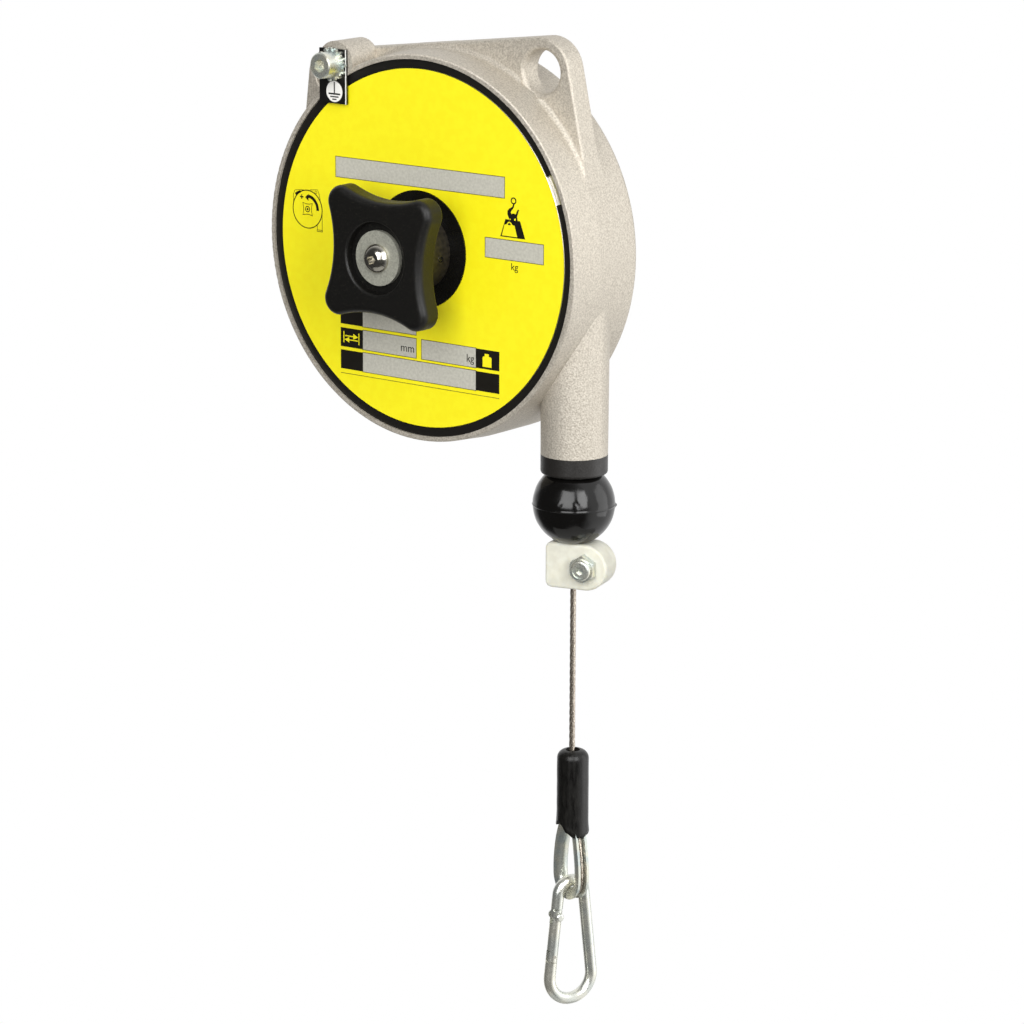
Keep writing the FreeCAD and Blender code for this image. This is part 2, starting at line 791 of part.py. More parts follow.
def knob_screw():
    """A button-head screw with a star recess."""
    head_front = washer_front_y - knob_screw_head_height
    dome = Part.makeSphere(knob_screw_dome_r, V(0, washer_front_y + knob_screw_dome_depth, 0))
    head = cylinder_y(knob_screw_head_r, head_front, washer_front_y).common(dome)
    screw = head.fuse(cylinder_y(m6_r, washer_front_y, washer_front_y + knob_screw_length))
    corners = []
    for k in range(12):
        radius = star_recess_r if k % 2 == 0 else star_recess_valley_r
        x, z = polar(radius, 30 * k)
        corners.append(V(x, head_front, z))
    corners.append(corners[0])
    return screw.cut(Part.Face(Part.makePolygon(corners)).extrude(V(0, star_recess_depth, 0)))


# ---- ratchet ---------------------------------------------------------------------------------
def pawl_pin_place():
    return polar(pawl_pin_radius, pawl_pin_angle)


def ratchet_wheel():
    """A saw-toothed wheel on the arbor that holds the preload of the spring."""
    corners = []
    step = 360 / ratchet_teeth
    for k in range(ratchet_teeth):
        for radius, turn in ((ratchet_tip_r, k), (ratchet_root_r, k + ratchet_tooth_lean)):
            x, z = polar(radius, turn * step)
            corners.append(V(x, ratchet_y, z))
    corners.append(corners[0])
    wheel = Part.Face(Part.makePolygon(corners)).extrude(V(0, ratchet_thickness, 0))
    return wheel.cut(cylinder_y(arbor_r, ratchet_y, ratchet_back_y))


def pawl():
    """The pawl, drawn riding just clear of the tooth tips."""
    pin_x, pin_z = pawl_pin_place()
    nose_x, nose_z = polar(ratchet_tip_r + round_gap + pawl_nose_r, pawl_nose_angle)
    circles = [(pin_x, pin_z, pawl_hub_r), (nose_x, nose_z, pawl_nose_r)]
    arm = around_circles(circles, ratchet_y).extrude(V(0, ratchet_thickness, 0))
    bore = cylinder_y(pawl_pin_r + running_gap, ratchet_y, ratchet_back_y, pin_x, pin_z)
    return arm.cut(bore)


def pawl_pin():
    x, z = pawl_pin_place()
    return cylinder_y(pawl_pin_r, label_land + past, ratchet_back_y + pawl_pin_proud, x, z)


def pawl_spring():
    """The wire spring behind the pawl: its coil on the pin and one leg along the cover."""
    x, z = pawl_pin_place()
    top = ratchet_y - fit_gap
    coil = ring_y(pawl_spring_r, pawl_pin_r, label_land + cover_skin, top, x, z)
    leg_y = top - pawl_spring_leg_drop
    leg = Part.makeBox(pawl_spring_wire, pawl_spring_wire, pawl_spring_leg, V(x - pawl_spring_r, leg_y, z))
    return join([coil, leg])


# ---- drum and power spring -------------------------------------------------------------------
def coil_r(y):
    """Inner radius of the wound rope: the drum is slightly conical, and the rope leaves at outlet_x."""
    return outlet_x - rope_r + drum_taper * (y - outlet_y)


def drum():
    """The conical rope drum: two flanges, a front web with its hub, and a cup for the spring."""
    cover_seat_y = drum_back_y - spring_cover_thickness
    hub_end_y = drum_front_y + drum_hub_length
    profile = [
        (drum_bush_r, drum_front_y),
        (drum_flange_r, drum_front_y),
        (drum_flange_r, groove_front_y),
        (coil_r(groove_front_y), groove_front_y),
        (coil_r(groove_back_y), groove_back_y),
        (drum_flange_r, groove_back_y),
        (drum_flange_r, drum_back_y),
        (spring_cover_r, drum_back_y),
        (spring_cover_r, cover_seat_y),
        (drum_cup_r, cover_seat_y),
        (drum_cup_r, drum_front_y + drum_web, drum_cup_corner_r),
        (drum_hub_r, drum_front_y + drum_web, drum_hub_corner_r),
        (drum_hub_r, hub_end_y),
        (drum_bush_r, hub_end_y),
    ]
    return turned(profile)


def spring_cover():
    return ring_y(spring_cover_r, drum_bush_r, drum_back_y - spring_cover_thickness, drum_back_y)


def drum_bushes():
    """Two plain bushes, one in the hub and one in the spring cover."""
    front = ring_y(drum_bush_r, bearing_r, drum_front_y, drum_front_y + drum_hub_length)
    back = ring_y(drum_bush_r, bearing_r, drum_back_y - spring_cover_thickness, drum_back_y)
    return Part.makeCompound([front, back])


def rope_on_drum():
    """The outer shape of the wound rope, one layer deep between the flanges."""
    front_r = coil_r(groove_front_y)
    back_r = coil_r(groove_back_y)
    return turned([
        (front_r, groove_front_y),
        (front_r + 2 * rope_r, groove_front_y),
        (back_r + 2 * rope_r, groove_back_y),
        (back_r, groove_back_y),
    ])


def power_spring():
    """The flat spiral spring, drawn with fewer and thicker turns than the real strip."""
    inner = arbor_r + round_gap
    pitch = (drum_cup_r - spring_strip - inner) / spring_half_turns
    start = drum_front_y + drum_hub_length + round_gap
    edges = []
    ends = []
    for offset in (0, spring_strip):
        x = 0
        radius = inner + offset
        last = V(radius, start, 0)
        ends.append([last])
        for k in range(spring_half_turns):
            side = 1 if k % 2 == 0 else -1
            grown = radius + pitch * (2 * k + 1) / 2
            centre = last.x - side * grown
            far = V(centre - side * grown, start, 0)
            edges.append(Part.Arc(last, V(centre, start, side * grown), far).toShape())
            last = far
        ends[-1].append(last)
    edges.append(Part.LineSegment(ends[0][0], ends[1][0]).toShape())
    edges.append(Part.LineSegment(ends[0][1], ends[1][1]).toShape())
    strip = Part.Face(Part.Wire(Part.__sortEdges__(edges)))
    return strip.extrude(V(0, spring_width, 0))


# ---- rope ------------------------------------------------------------------------------------
# The clamp and the rope's loop are drawn square to the drum, then turned about the rope.
def turn_on_rope(shape, degrees):
    return shape.rotate(V(outlet_x, outlet_y, 0), AXIS_Z, degrees)


def rope_upper():
    """The rope from the drum down to the clamp."""
    nearest = coil_r(outlet_y + rope_r) + 2 * rope_r + round_gap
    top_z = -math.sqrt(nearest ** 2 - (outlet_x - rope_r) ** 2)
    return cylinder_z(rope_r, ball_flat_z, top_z)


def rope_point(sideways, rise):
    return V(outlet_x + sideways, outlet_y, loop_bottom_z + rise)


def cord_radii(route):
    """Bend radius at each point: a share of the shorter run, over the tangent of half the turn."""
    points = [rope_point(*place) for place in route]
    radii = [0]
    for i in range(1, len(points) - 1):
        before = points[i] - points[i - 1]
        after = points[i + 1] - points[i]
        run = min(before.Length, after.Length)
        radii.append(bend_share * run / math.tan(before.getAngle(after) / 2))
    return radii + [0]


def loop_path():
    points = [rope_point(*place) for place in loop_route]
    return wire_through(points, cord_radii(loop_route), False)


def rope_lower():
    """The rope from the clamp to its loop round the thimble and back into the ferrule."""
    path = loop_path()
    section = Part.Wire(Part.makeCircle(rope_r, rope_point(*loop_route[0]), AXIS_Z))
    return turn_on_rope(path.makePipeShell([section], True, False), loop_turn)


# ---- buffer ball and rope clamp --------------------------------------------------------------
def buffer_ball():
    """The rubber ball that stops the rope at the outlet, flat where it stands on the clamp."""
    ball = Part.makeSphere(ball_r, V(outlet_x, outlet_y, ball_z))
    below = cylinder_z(ball_r, ball_flat_z - ball_r, ball_flat_z)
    bore = cylinder_z(rope_bore_r, ball_flat_z, ball_z + 2 * ball_r)
    return ball.cut(below).cut(bore)


def rope_clamp():
    """The nylon clamp: flat on the rope's side, half round about its screw."""
    half = clamp_height / 2
    left = outlet_x - clamp_left
    top = ball_flat_z
    corner = clamp_corner_r
    start = V(clamp_screw_x, clamp_front_y, clamp_bottom_z)
    end = V(clamp_screw_x, clamp_front_y, top)
    nose = Part.Arc(start, V(clamp_screw_x + half, clamp_front_y, clamp_screw_z), end).toShape()
    points = [end, V(left, clamp_front_y, top), V(left, clamp_front_y, clamp_bottom_z), start]
    side = wire_through(points, [0, corner, corner, 0], False)
    outline = Part.Wire([nose] + side.Edges)
    body = Part.Face(outline).extrude(V(0, clamp_depth, 0))
    rims = edges_at(body, "Y", clamp_front_y) + edges_at(body, "Y", clamp_back_y)
    body = body.makeFillet(clamp_edge_r, rims)
    body = body.cut(cylinder_y(m5_r, clamp_front_y, clamp_back_y, clamp_screw_x, clamp_screw_z))
    body = body.cut(nut_before_turning())
    body = body.cut(cylinder_z(rope_r + fit_gap, clamp_bottom_z, ball_flat_z))
    return turn_on_rope(body, clamp_turn)


def clamp_nut():
    return turn_on_rope(nut_before_turning(), clamp_turn)


def nut_before_turning():
    """A self-locking hexagon nut, sunk slightly into the front of the clamp."""
    seat = clamp_front_y + nut_recess
    hexagon = hex_bar(nut_af, seat - nut_hex_height, seat, clamp_screw_x, clamp_screw_z)
    rounding = turned_nut_corner(seat)
    hexagon = hexagon.common(rounding)
    top = seat - nut_height
    collar = cylinder_y(nut_collar_r, top, seat - nut_hex_height, clamp_screw_x, clamp_screw_z)
    collar = collar.makeFillet(nut_collar_edge_r, edges_at(collar, "Y", top))
    bore = cylinder_y(m5_r, top, seat, clamp_screw_x, clamp_screw_z)
    return hexagon.fuse(collar).cut(bore)


def turned_nut_corner(seat):
    """The cone that takes the corners off the front of the hexagon."""
    corner_r = nut_af / math.sqrt(3)
    front = seat - nut_hex_height
    tip = V(clamp_screw_x, front, clamp_screw_z)
    cone = Part.makeCone(corner_r - nut_corner_cut, corner_r, nut_corner_height, tip, AXIS_Y)
    rest = cylinder_y(corner_r, front + nut_corner_height, seat, clamp_screw_x, clamp_screw_z)
    return cone.fuse(rest)


def clamp_screw():
    """A socket screw from behind, with a second small socket in its tip."""
    tip = clamp_back_y - clamp_screw_length
    head_start = clamp_back_y + m5_head_height
    screw = socket_screw(head_start, clamp_back_y, tip, clamp_screw_x, clamp_screw_z)
    tip_end = tip + clamp_screw_tip_depth
    screw = screw.cut(hex_bar(clamp_screw_tip_af, tip, tip_end, clamp_screw_x, clamp_screw_z))
    return turn_on_rope(screw, clamp_turn)


# ---- rope end fitting ------------------------------------------------------------------------
def rope_sleeve():
    """The rubber sleeve over the ferrule, domed at the top."""
    x = outlet_x + sleeve_offset
    body = cylinder_z(sleeve_r, sleeve_bottom_z, sleeve_top_z, x)
    body = body.makeFillet(sleeve_dome_r, edges_at(body, "Z", sleeve_top_z))
    body = body.cut(cylinder_z(sleeve_r - sleeve_wall, sleeve_bottom_z, sleeve_top_z - sleeve_cap, x))
    body = body.cut(cylinder_z(sleeve_hole_r, sleeve_top_z - sleeve_cap, sleeve_top_z))
    return turn_on_rope(body, loop_turn)


def ferrule():
    """The oval crimp that holds the rope and its tail."""
    wall_r = rope_r + ferrule_wall
    corner = V(outlet_x, outlet_y - wall_r, ferrule_bottom_z)
    middle = Part.makeBox(tail_offset, 2 * wall_r, ferrule_length, corner)
    body = [middle]
    for x in (outlet_x, outlet_x + tail_offset):
        body.append(cylinder_z(wall_r, ferrule_bottom_z, ferrule_top_z, x))
    body = join(body)
    for x in (outlet_x, outlet_x + tail_offset):
        body = body.cut(cylinder_z(rope_r, ferrule_bottom_z, ferrule_top_z, x))
    return turn_on_rope(body, loop_turn)


def thimble():
    """The thimble: a trough pressed from sheet that follows the rope round its loop."""
    places = loop_route[thimble_first:thimble_last + 1]
    radii = cord_radii(loop_route)[thimble_first:thimble_last + 1]
    points = [rope_point(*place) for place in places]
    path = wire_through(points, radii, False)
    start = points[0]
    along = unit(points[0], points[1])
    outward = along.cross(AXIS_Y)
    if outward.x > 0:
        outward = outward * -1
    inner_r = thimble_trough_r
    outer_r = thimble_trough_r + thimble_sheet

    def at(out, across):
        return start + outward * out + AXIS_Y * across

    edges = [
        Part.LineSegment(at(thimble_flange, -outer_r), at(0, -outer_r)).toShape(),
        Part.Arc(at(0, -outer_r), at(-outer_r, 0), at(0, outer_r)).toShape(),
        Part.LineSegment(at(0, outer_r), at(thimble_flange, outer_r)).toShape(),
        Part.LineSegment(at(thimble_flange, outer_r), at(thimble_flange, inner_r)).toShape(),
        Part.LineSegment(at(thimble_flange, inner_r), at(0, inner_r)).toShape(),
        Part.Arc(at(0, inner_r), at(-inner_r, 0), at(0, -inner_r)).toShape(),
        Part.LineSegment(at(0, -inner_r), at(thimble_flange, -inner_r)).toShape(),
        Part.LineSegment(at(thimble_flange, -inner_r), at(thimble_flange, -outer_r)).toShape(),
    ]
    sweep = Part.BRepOffsetAPI.MakePipeShell(path)
    sweep.setBiNormalMode(AXIS_Y)
    sweep.add(Part.Wire(edges))
    sweep.build()
    sweep.makeSolid()
    trough = sweep.shape()
    trough = trough.cut(cylinder_z(sleeve_r + ball_r, thimble_top_z, ferrule_top_z))
    return turn_on_rope(trough, loop_turn)


# ---- snap hook -------------------------------------------------------------------------------
# Drawn in its own plane, with the spine on the +X side, then turned about the rope axis.
def in_hook(x, z):
    return V(outlet_x + x, outlet_y, z)


def hook_lean():
    """Angle that the straight sides lean outwards by."""
    return math.asin((hook_bow_r - hook_eye_r) / (hook_eye_z - hook_bow_z))


def side_x(z):
    """Distance of the straight side's centre line from the hook's middle, at one height."""
    lean = hook_lean()
    return (hook_eye_r + (hook_eye_z - z) * math.sin(lean)) / math.cos(lean)


def turn_hook(shape):
    return turn_on_rope(shape, hook_turn)


def tongue(bottom, top, thickness, width):
    """A flat tongue on the gate's side of the hook, leaning with it."""
    middle = (bottom + top) / 2
    bar = Part.makeBox(width, thickness, top - bottom, V(-width / 2, -thickness / 2, -(top - bottom) / 2))
    bar.rotate(AXIS, AXIS_Y, math.degrees(hook_lean()))
    bar.translate(in_hook(-side_x(middle), middle))
    return bar


def across_hook(radius, half_length, z, x_shift=0.0):
    """A round pin across the hook, on the gate's line."""
    centre = in_hook(-side_x(z) + x_shift, z)
    return Part.makeCylinder(radius, 2 * half_length, centre - AXIS_Y * half_length, AXIS_Y)


def snap_hook():
    """The bent wire body: eye, spine and bow, flattened at the hinge and at the nose."""
    lean = hook_lean()
    cos_l = math.cos(lean)
    sin_l = math.sin(lean)
    eye_right = in_hook(hook_eye_r * cos_l, hook_eye_z + hook_eye_r * sin_l)
    eye_left = in_hook(-hook_eye_r * cos_l, hook_eye_z + hook_eye_r * sin_l)
    bow_right = in_hook(hook_bow_r * cos_l, hook_bow_z + hook_bow_r * sin_l)
    bow_left = in_hook(-hook_bow_r * cos_l, hook_bow_z + hook_bow_r * sin_l)
    nose_z = gate_bottom_z - gate_gap
    nose = in_hook(-side_x(nose_z), nose_z)
    hinge_z = gate_top_z + gate_gap
    hinge = in_hook(-side_x(hinge_z), hinge_z)
    path = Part.Wire([
        Part.LineSegment(nose, bow_left).toShape(),
        Part.Arc(bow_left, in_hook(0, hook_bow_z - hook_bow_r), bow_right).toShape(),
        Part.LineSegment(bow_right, eye_right).toShape(),
        Part.Arc(eye_right, in_hook(0, hook_eye_z + hook_eye_r), eye_left).toShape(),
        Part.LineSegment(eye_left, hinge).toShape(),
    ])
    start_direction = unit(nose, bow_left)
    section = Part.Wire(Part.makeCircle(hook_wire_r, nose, start_direction))
    wire = path.makePipeShell([section], True, False)
    hinge_tongue = tongue(gate_pivot_z, hinge_z + past, gate_tongue, gate_tongue_width)
    hinge_eye = across_hook(gate_tongue_width / 2, gate_tongue / 2, gate_pivot_z)
    nose_width = gate_tongue_width - nose_tongue_narrower
    nose_tongue = tongue(nose_z - past, nose_top_z, gate_tongue, nose_width)
    body = join([wire, hinge_tongue, hinge_eye, nose_tongue])
    body = body.cut(across_hook(gate_rivet_r, gate_r, gate_pivot_z))
    pin_z = gate_bottom_z + gate_pin_rise
    catch_r = gate_pin_r + gate_gap
    body = body.cut(across_hook(catch_r, gate_r, pin_z))
    corner = in_hook(-side_x(pin_z), pin_z - catch_r) - AXIS_Y * gate_r
    way_in = Part.makeBox(gate_tongue_width, 2 * gate_r, 2 * catch_r, corner)
    return turn_hook(body.cut(way_in))


def side_bar(radius, bottom_z, top_z):
    """A round bar along the hook's open side."""
    top = in_hook(-side_x(top_z), top_z)
    bottom = in_hook(-side_x(bottom_z), bottom_z)
    return Part.makeCylinder(radius, (top - bottom).Length, bottom, top - bottom)


def gate_bar():
    """The gate's outside, with its top end turned round the hinge so that it clears the eye."""
    top = side_bar(gate_r, gate_pivot_z, gate_top_z + past)
    top = top.common(across_hook(gate_end_r, 2 * gate_r, gate_pivot_z))
    return join([side_bar(gate_r, gate_bottom_z, gate_pivot_z), top])


def gate():
    """The gate: slotted at both ends, over the hinge tongue and over the nose."""
    slot = gate_tongue + 2 * gate_gap
    wide = 3 * gate_r
    bar = gate_bar()
    bar = bar.cut(tongue(gate_spring_top(), gate_top_z + past, slot, wide))
    bar = bar.cut(tongue(gate_bottom_z - past, nose_top_z + nose_tongue_room, slot, wide))
    bar = bar.cut(across_hook(gate_rivet_r + running_gap, 2 * gate_r, gate_pivot_z))
    bar = bar.cut(across_hook(gate_pin_r, 2 * gate_r, gate_bottom_z + gate_pin_rise))
    bar = bar.cut(gate_spring_bar())
    return turn_hook(bar)


def gate_rivet():
    """The hinge rivet, with a round head on each side."""
    shank = across_hook(gate_rivet_r, gate_r + gate_gap, gate_pivot_z)
    parts = [shank]
    centre = in_hook(-side_x(gate_pivot_z), gate_pivot_z)
    for side in (-1, 1):
        seat = centre + AXIS_Y * side * (gate_r + gate_gap)
        head = Part.makeCylinder(gate_rivet_head_r, gate_rivet_head, seat, AXIS_Y * side)
        far = gate_r + gate_gap + gate_rivet_head
        crown = edges_at(head, "Y", outlet_y + side * far)
        parts.append(head.makeFillet(gate_rivet_round, crown))
    return turn_hook(join(parts))


def gate_latch_pin():
    """The small pin in the gate that drops into the nose."""
    return turn_hook(across_hook(gate_pin_r, gate_r, gate_bottom_z + gate_pin_rise))


def gate_spring_top():
    """Height of the slot's floor below the hinge, where the spring comes out of the gate."""
    return gate_pivot_z - gate_tongue_width / 2 - gate_spring_floor


def gate_spring_bar():
    return side_bar(gate_spring_r, gate_spring_top() - gate_spring_length, gate_spring_top())


def gate_spring():
    """The outer shape of the small spring inside the gate."""
    return turn_hook(gate_spring_bar())


# ---- write the parts -------------------------------------------------------------------------
PIECES = [
    housing, front_cover, cover_retaining_ring, front_label,
    ground_plate, ground_tooth_washers, ground_screw,
    rope_outlet_bush, adjuster_bush,
    arbor, hub, hub_pin, knob, knob_washer, knob_screw,
    ratchet_wheel, pawl, pawl_pin, pawl_spring,
    drum, spring_cover, drum_bushes, rope_on_drum, power_spring,
    rope_upper, rope_lower, buffer_ball, rope_clamp, clamp_nut, clamp_screw,
    rope_sleeve, ferrule, thimble,
    snap_hook, gate, gate_rivet, gate_latch_pin, gate_spring,
]

os.makedirs("parts", exist_ok=True)
to_origin = V(-hang_x, -outlet_y, -hang_z)
for piece in PIECES:
    shape = piece()
    shape.translate(to_origin)
    shape.exportStep("parts/" + piece.__name__ + ".step")
    print(piece.__name__, len(shape.Solids), round(shape.Volume, 2), shape.isValid())
print("rope bend radii", [round(radius, 2) for radius in cord_radii(loop_route)])
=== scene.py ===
import bpy
import bmesh
import math
from mathutils import Matrix, Vector, noise


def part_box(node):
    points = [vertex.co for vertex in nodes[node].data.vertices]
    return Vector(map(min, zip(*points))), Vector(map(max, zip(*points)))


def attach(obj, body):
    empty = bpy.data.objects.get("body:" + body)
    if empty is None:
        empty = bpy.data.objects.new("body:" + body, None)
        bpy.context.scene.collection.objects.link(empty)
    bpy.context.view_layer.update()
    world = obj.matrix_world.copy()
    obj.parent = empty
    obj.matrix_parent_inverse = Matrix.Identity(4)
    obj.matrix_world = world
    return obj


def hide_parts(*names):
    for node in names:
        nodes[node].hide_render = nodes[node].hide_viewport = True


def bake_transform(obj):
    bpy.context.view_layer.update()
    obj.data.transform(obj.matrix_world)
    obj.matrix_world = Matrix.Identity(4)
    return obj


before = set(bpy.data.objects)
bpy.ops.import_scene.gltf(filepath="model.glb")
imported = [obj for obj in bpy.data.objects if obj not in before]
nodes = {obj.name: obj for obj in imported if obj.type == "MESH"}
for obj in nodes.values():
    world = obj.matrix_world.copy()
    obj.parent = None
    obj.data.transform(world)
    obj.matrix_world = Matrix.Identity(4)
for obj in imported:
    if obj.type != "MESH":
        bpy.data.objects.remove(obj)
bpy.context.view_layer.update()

MM = 0.001

bpy.context.scene.view_settings.view_transform = "Standard"


# ---- Camera ----------------------------------------------------------------------------------
# A long lens, 1.27 m from the balancer, to its right and a little above the hanging hole.
camera_place = Vector((0.7640, -1.0043, 0.1633))
camera_right = Vector((0.78987, 0.61328, 0.00370))
camera_up = Vector((-0.14845, 0.18533, 0.97140))
camera_back = camera_right.cross(camera_up)

lens = bpy.data.cameras.new("camera")
lens.lens = 139.2
lens.sensor_width = 36.0
camera = bpy.data.objects.new("camera", lens)
turn = Matrix((camera_right, camera_up, camera_back)).transposed().to_4x4()
camera.matrix_world = Matrix.Translation(camera_place) @ turn
bpy.context.scene.collection.objects.link(camera)
bpy.context.scene.camera = camera


# ---- Studio ----------------------------------------------------------------------------------
# A white room, dark in front and to the camera's left so that the metal has edges. Two tall soft
# lamps stand left and right of the camera, and a pale panel stands to the right of the balancer.
def linear(hex_code):
    """An sRGB hex colour as the linear RGBA that the shaders take."""
    channels = [int(hex_code[i:i + 2], 16) / 255 for i in (1, 3, 5)]
    return [c / 12.92 if c <= 0.04045 else ((c + 0.055) / 1.055) ** 2.4 for c in channels] + [1.0]


def add_node(tree, kind, settings=None, inputs=None):
    """Adds a node. settings are its own properties; an input takes a value or another node's socket."""
    made = tree.nodes.new(kind)
    for name, value in (settings or {}).items():
        setattr(made, name, value)
    for name, value in (inputs or {}).items():
        if isinstance(value, bpy.types.NodeSocket):
            tree.links.new(value, made.inputs[name])
        else:
            made.inputs[name].default_value = value
    return made


room_light = 0.25
dark_side = Vector((-0.14, -0.97, -0.15)).normalized()

world = bpy.data.worlds.new("white_room")
bpy.context.scene.world = world
world.use_nodes = True
room = world.node_tree
room.nodes.clear()
ray = add_node(room, "ShaderNodeLightPath")
direction = add_node(room, "ShaderNodeTexCoord")
facing = add_node(room, "ShaderNodeVectorMath", {"operation": "DOT_PRODUCT"},
                  {0: direction.outputs["Generated"], 1: dark_side})
shade = add_node(room, "ShaderNodeMapRange", {"interpolation_type": "SMOOTHSTEP"},
                 {"Value": facing.outputs["Value"], "From Min": -0.2, "From Max": 0.35,
                  "To Min": 1.0, "To Max": 0.06})
soft = add_node(room, "ShaderNodeBackground", None, {"Color": linear("#fffdf9"), "Strength": room_light})
mirrored = add_node(room, "ShaderNodeBackground", None,
                    {"Color": linear("#ffffff"), "Strength": shade.outputs["Result"]})
seen = add_node(room, "ShaderNodeBackground", None, {"Color": linear("#ffffff"), "Strength": 1.0})
shiny = add_node(room, "ShaderNodeMath", {"operation": "MAXIMUM"},
                 {0: ray.outputs["Is Glossy Ray"], 1: ray.outputs["Is Transmission Ray"]})
lit = add_node(room, "ShaderNodeMixShader", None,
               {0: shiny.outputs[0], 1: soft.outputs[0], 2: mirrored.outputs[0]})
whole = add_node(room, "ShaderNodeMixShader", None,
                 {0: ray.outputs["Is Camera Ray"], 1: lit.outputs[0], 2: seen.outputs[0]})
add_node(room, "ShaderNodeOutputWorld", None, {"Surface": whole.outputs[0]})


def soft_lamp(name, place, width, height, watts):
    """A rectangular lamp that faces the middle of the balancer."""
    lamp = bpy.data.lights.new(name, "AREA")
    lamp.shape = "RECTANGLE"
    lamp.size = width
    lamp.size_y = height
    lamp.energy = watts
    holder = bpy.data.objects.new(name, lamp)
    aim = Vector((0, 0, -0.12)) - Vector(place)
    holder.matrix_world = Matrix.Translation(place) @ aim.to_track_quat("-Z", "Y").to_matrix().to_4x4()
    bpy.context.scene.collection.objects.link(holder)


def around(bearing, distance, height):
    """A place round the balancer, by its bearing from straight ahead of the camera in degrees."""
    ahead = math.atan2(camera_back.y, camera_back.x) + math.radians(bearing)
    return (distance * math.cos(ahead), distance * math.sin(ahead), height)


soft_lamp("lamp_right", around(24, 1.5, 0.50), 0.7, 1.4, 17)
soft_lamp("lamp_left", around(-20, 1.5, 0.50), 1.0, 1.4, 20)
soft_lamp("panel_right", around(88, 1.5, 0.0), 1.0, 1.8, 7)

# The floor is far enough down for the hook to be pulled out to its full travel.
floor_z = -2.05
floor_size = 2.4
floor_mesh = bpy.data.meshes.new("floor")
half = floor_size / 2
floor_mesh.from_pydata([(-half, -half, floor_z), (half, -half, floor_z), (half, half, floor_z),
                        (-half, half, floor_z)], [], [(0, 1, 2, 3)])
floor = bpy.data.objects.new("floor", floor_mesh)
bpy.context.scene.collection.objects.link(floor)
floor_paint = bpy.data.materials.new("white_floor_paint")
floor_paint.use_nodes = True
paint = floor_paint.node_tree
paint_shader = paint.nodes["Principled BSDF"]
paint_shader.inputs["Base Color"].default_value = linear("#f2f2f0")
paint_shader.inputs["Roughness"].default_value = 0.8
paint_shader.inputs["Emission Color"].default_value = linear("#ffffff")
floor_ray = add_node(paint, "ShaderNodeLightPath")
glow = add_node(paint, "ShaderNodeMath", {"operation": "MULTIPLY"},
                {0: floor_ray.outputs["Is Camera Ray"], 1: 0.55})
paint.links.new(glow.outputs[0], paint_shader.inputs["Emission Strength"])
floor_mesh.materials.append(floor_paint)


# ---- Cast housing ----------------------------------------------------------------------------
# A die-cast aluminium drum with a flange, two ears and the rope's tube, blasted with fine grit,
# so it is pale, satin and slightly sandy. The ejector pins left small rings on the flange; nothing here
# adds them.
def surface(name, base, metallic, roughness):
    """A new material and its shader, with the values that are the same all over."""
    material = bpy.data.materials.new(name)
    material.use_nodes = True
    shader = material.node_tree.nodes["Principled BSDF"]
    shader.inputs["Base Color"].default_value = linear(base)
    shader.inputs["Metallic"].default_value = metallic
    shader.inputs["Roughness"].default_value = roughness
    return material, material.node_tree, shader


def two_tones(tree, shader, light, dark, pattern, low=0.35, high=0.65):
    """Base colour that goes between two hex tones as a pattern goes from low to high."""
    tones = add_node(tree, "ShaderNodeValToRGB", None, {"Fac": pattern})
    tones.color_ramp.elements[0].position = low
    tones.color_ramp.elements[0].color = linear(dark)
    tones.color_ramp.elements[1].position = high
    tones.color_ramp.elements[1].color = linear(light)
    tree.links.new(tones.outputs["Color"], shader.inputs["Base Color"])


def grain(tree, size_mm, detail=2.0, squash=(1, 1, 1)):
    """Noise whose lumps are about size_mm across in the row frame, for a surface pattern."""
    place = add_node(tree, "ShaderNodeTexCoord")
    scaled = add_node(tree, "ShaderNodeMapping", None,
                      {"Vector": place.outputs["Object"], "Scale": squash})
    return add_node(tree, "ShaderNodeTexNoise", None,
                    {"Vector": scaled.outputs["Vector"], "Scale": 1 / (size_mm * MM), "Detail": detail})


def roughen(tree, shader, pattern, height_mm, strength=1.0):
    """Relief of that height from a pattern."""
    relief = add_node(tree, "ShaderNodeBump", None,
                      {"Strength": strength, "Distance": height_mm * MM, "Height": pattern})
    tree.links.new(relief.outputs["Normal"], shader.inputs["Normal"])


def uneven_gloss(tree, shader, pattern, low, high):
    """Roughness between two values, by a pattern."""
    spread = add_node(tree, "ShaderNodeMapRange", None,
                      {"Value": pattern, "From Min": 0.3, "From Max": 0.7,
                       "To Min": low, "To Max": high})
    tree.links.new(spread.outputs["Result"], shader.inputs["Roughness"])


def finish(material, *names):
    """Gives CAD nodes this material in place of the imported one."""
    for name in names:
        data = nodes[name].data
        if not data.materials:
            data.materials.append(material)
        for slot in range(len(data.materials)):
            data.materials[slot] = material


# Grit-blasted aluminium casting: pits of about 0.5 mm that catch the light and hold a little grey.
blasted_aluminium, tree, shader = surface("grit_blasted_cast_aluminium", "#cbc4b7", 0.5, 0.55)
grit = grain(tree, 0.55, 3.0)
two_tones(tree, shader, "#d6cfc2", "#b3ab9e", grit.outputs["Fac"], 0.34, 0.64)
uneven_gloss(tree, shader, grit.outputs["Fac"], 0.48, 0.62)
roughen(tree, shader, grit.outputs["Fac"], 0.13)
finish(blasted_aluminium, "housing")


# ---- Cover, retaining ring and label ---------------------------------------------------------
# The turned cover is held by a black retaining ring. A yellow printed film is stuck on the
# cover: grey fields to write on, black end blocks, and plain signs for turning and for the load.
turned_aluminium, tree, shader = surface("turned_aluminium", "#cfccc5", 1.0, 0.35)
tool_marks = grain(tree, 0.5, 2.0, (1, 8, 1))
uneven_gloss(tree, shader, tool_marks.outputs["Fac"], 0.28, 0.42)
roughen(tree, shader, tool_marks.outputs["Fac"], 0.01)
finish(turned_aluminium, "front_cover")

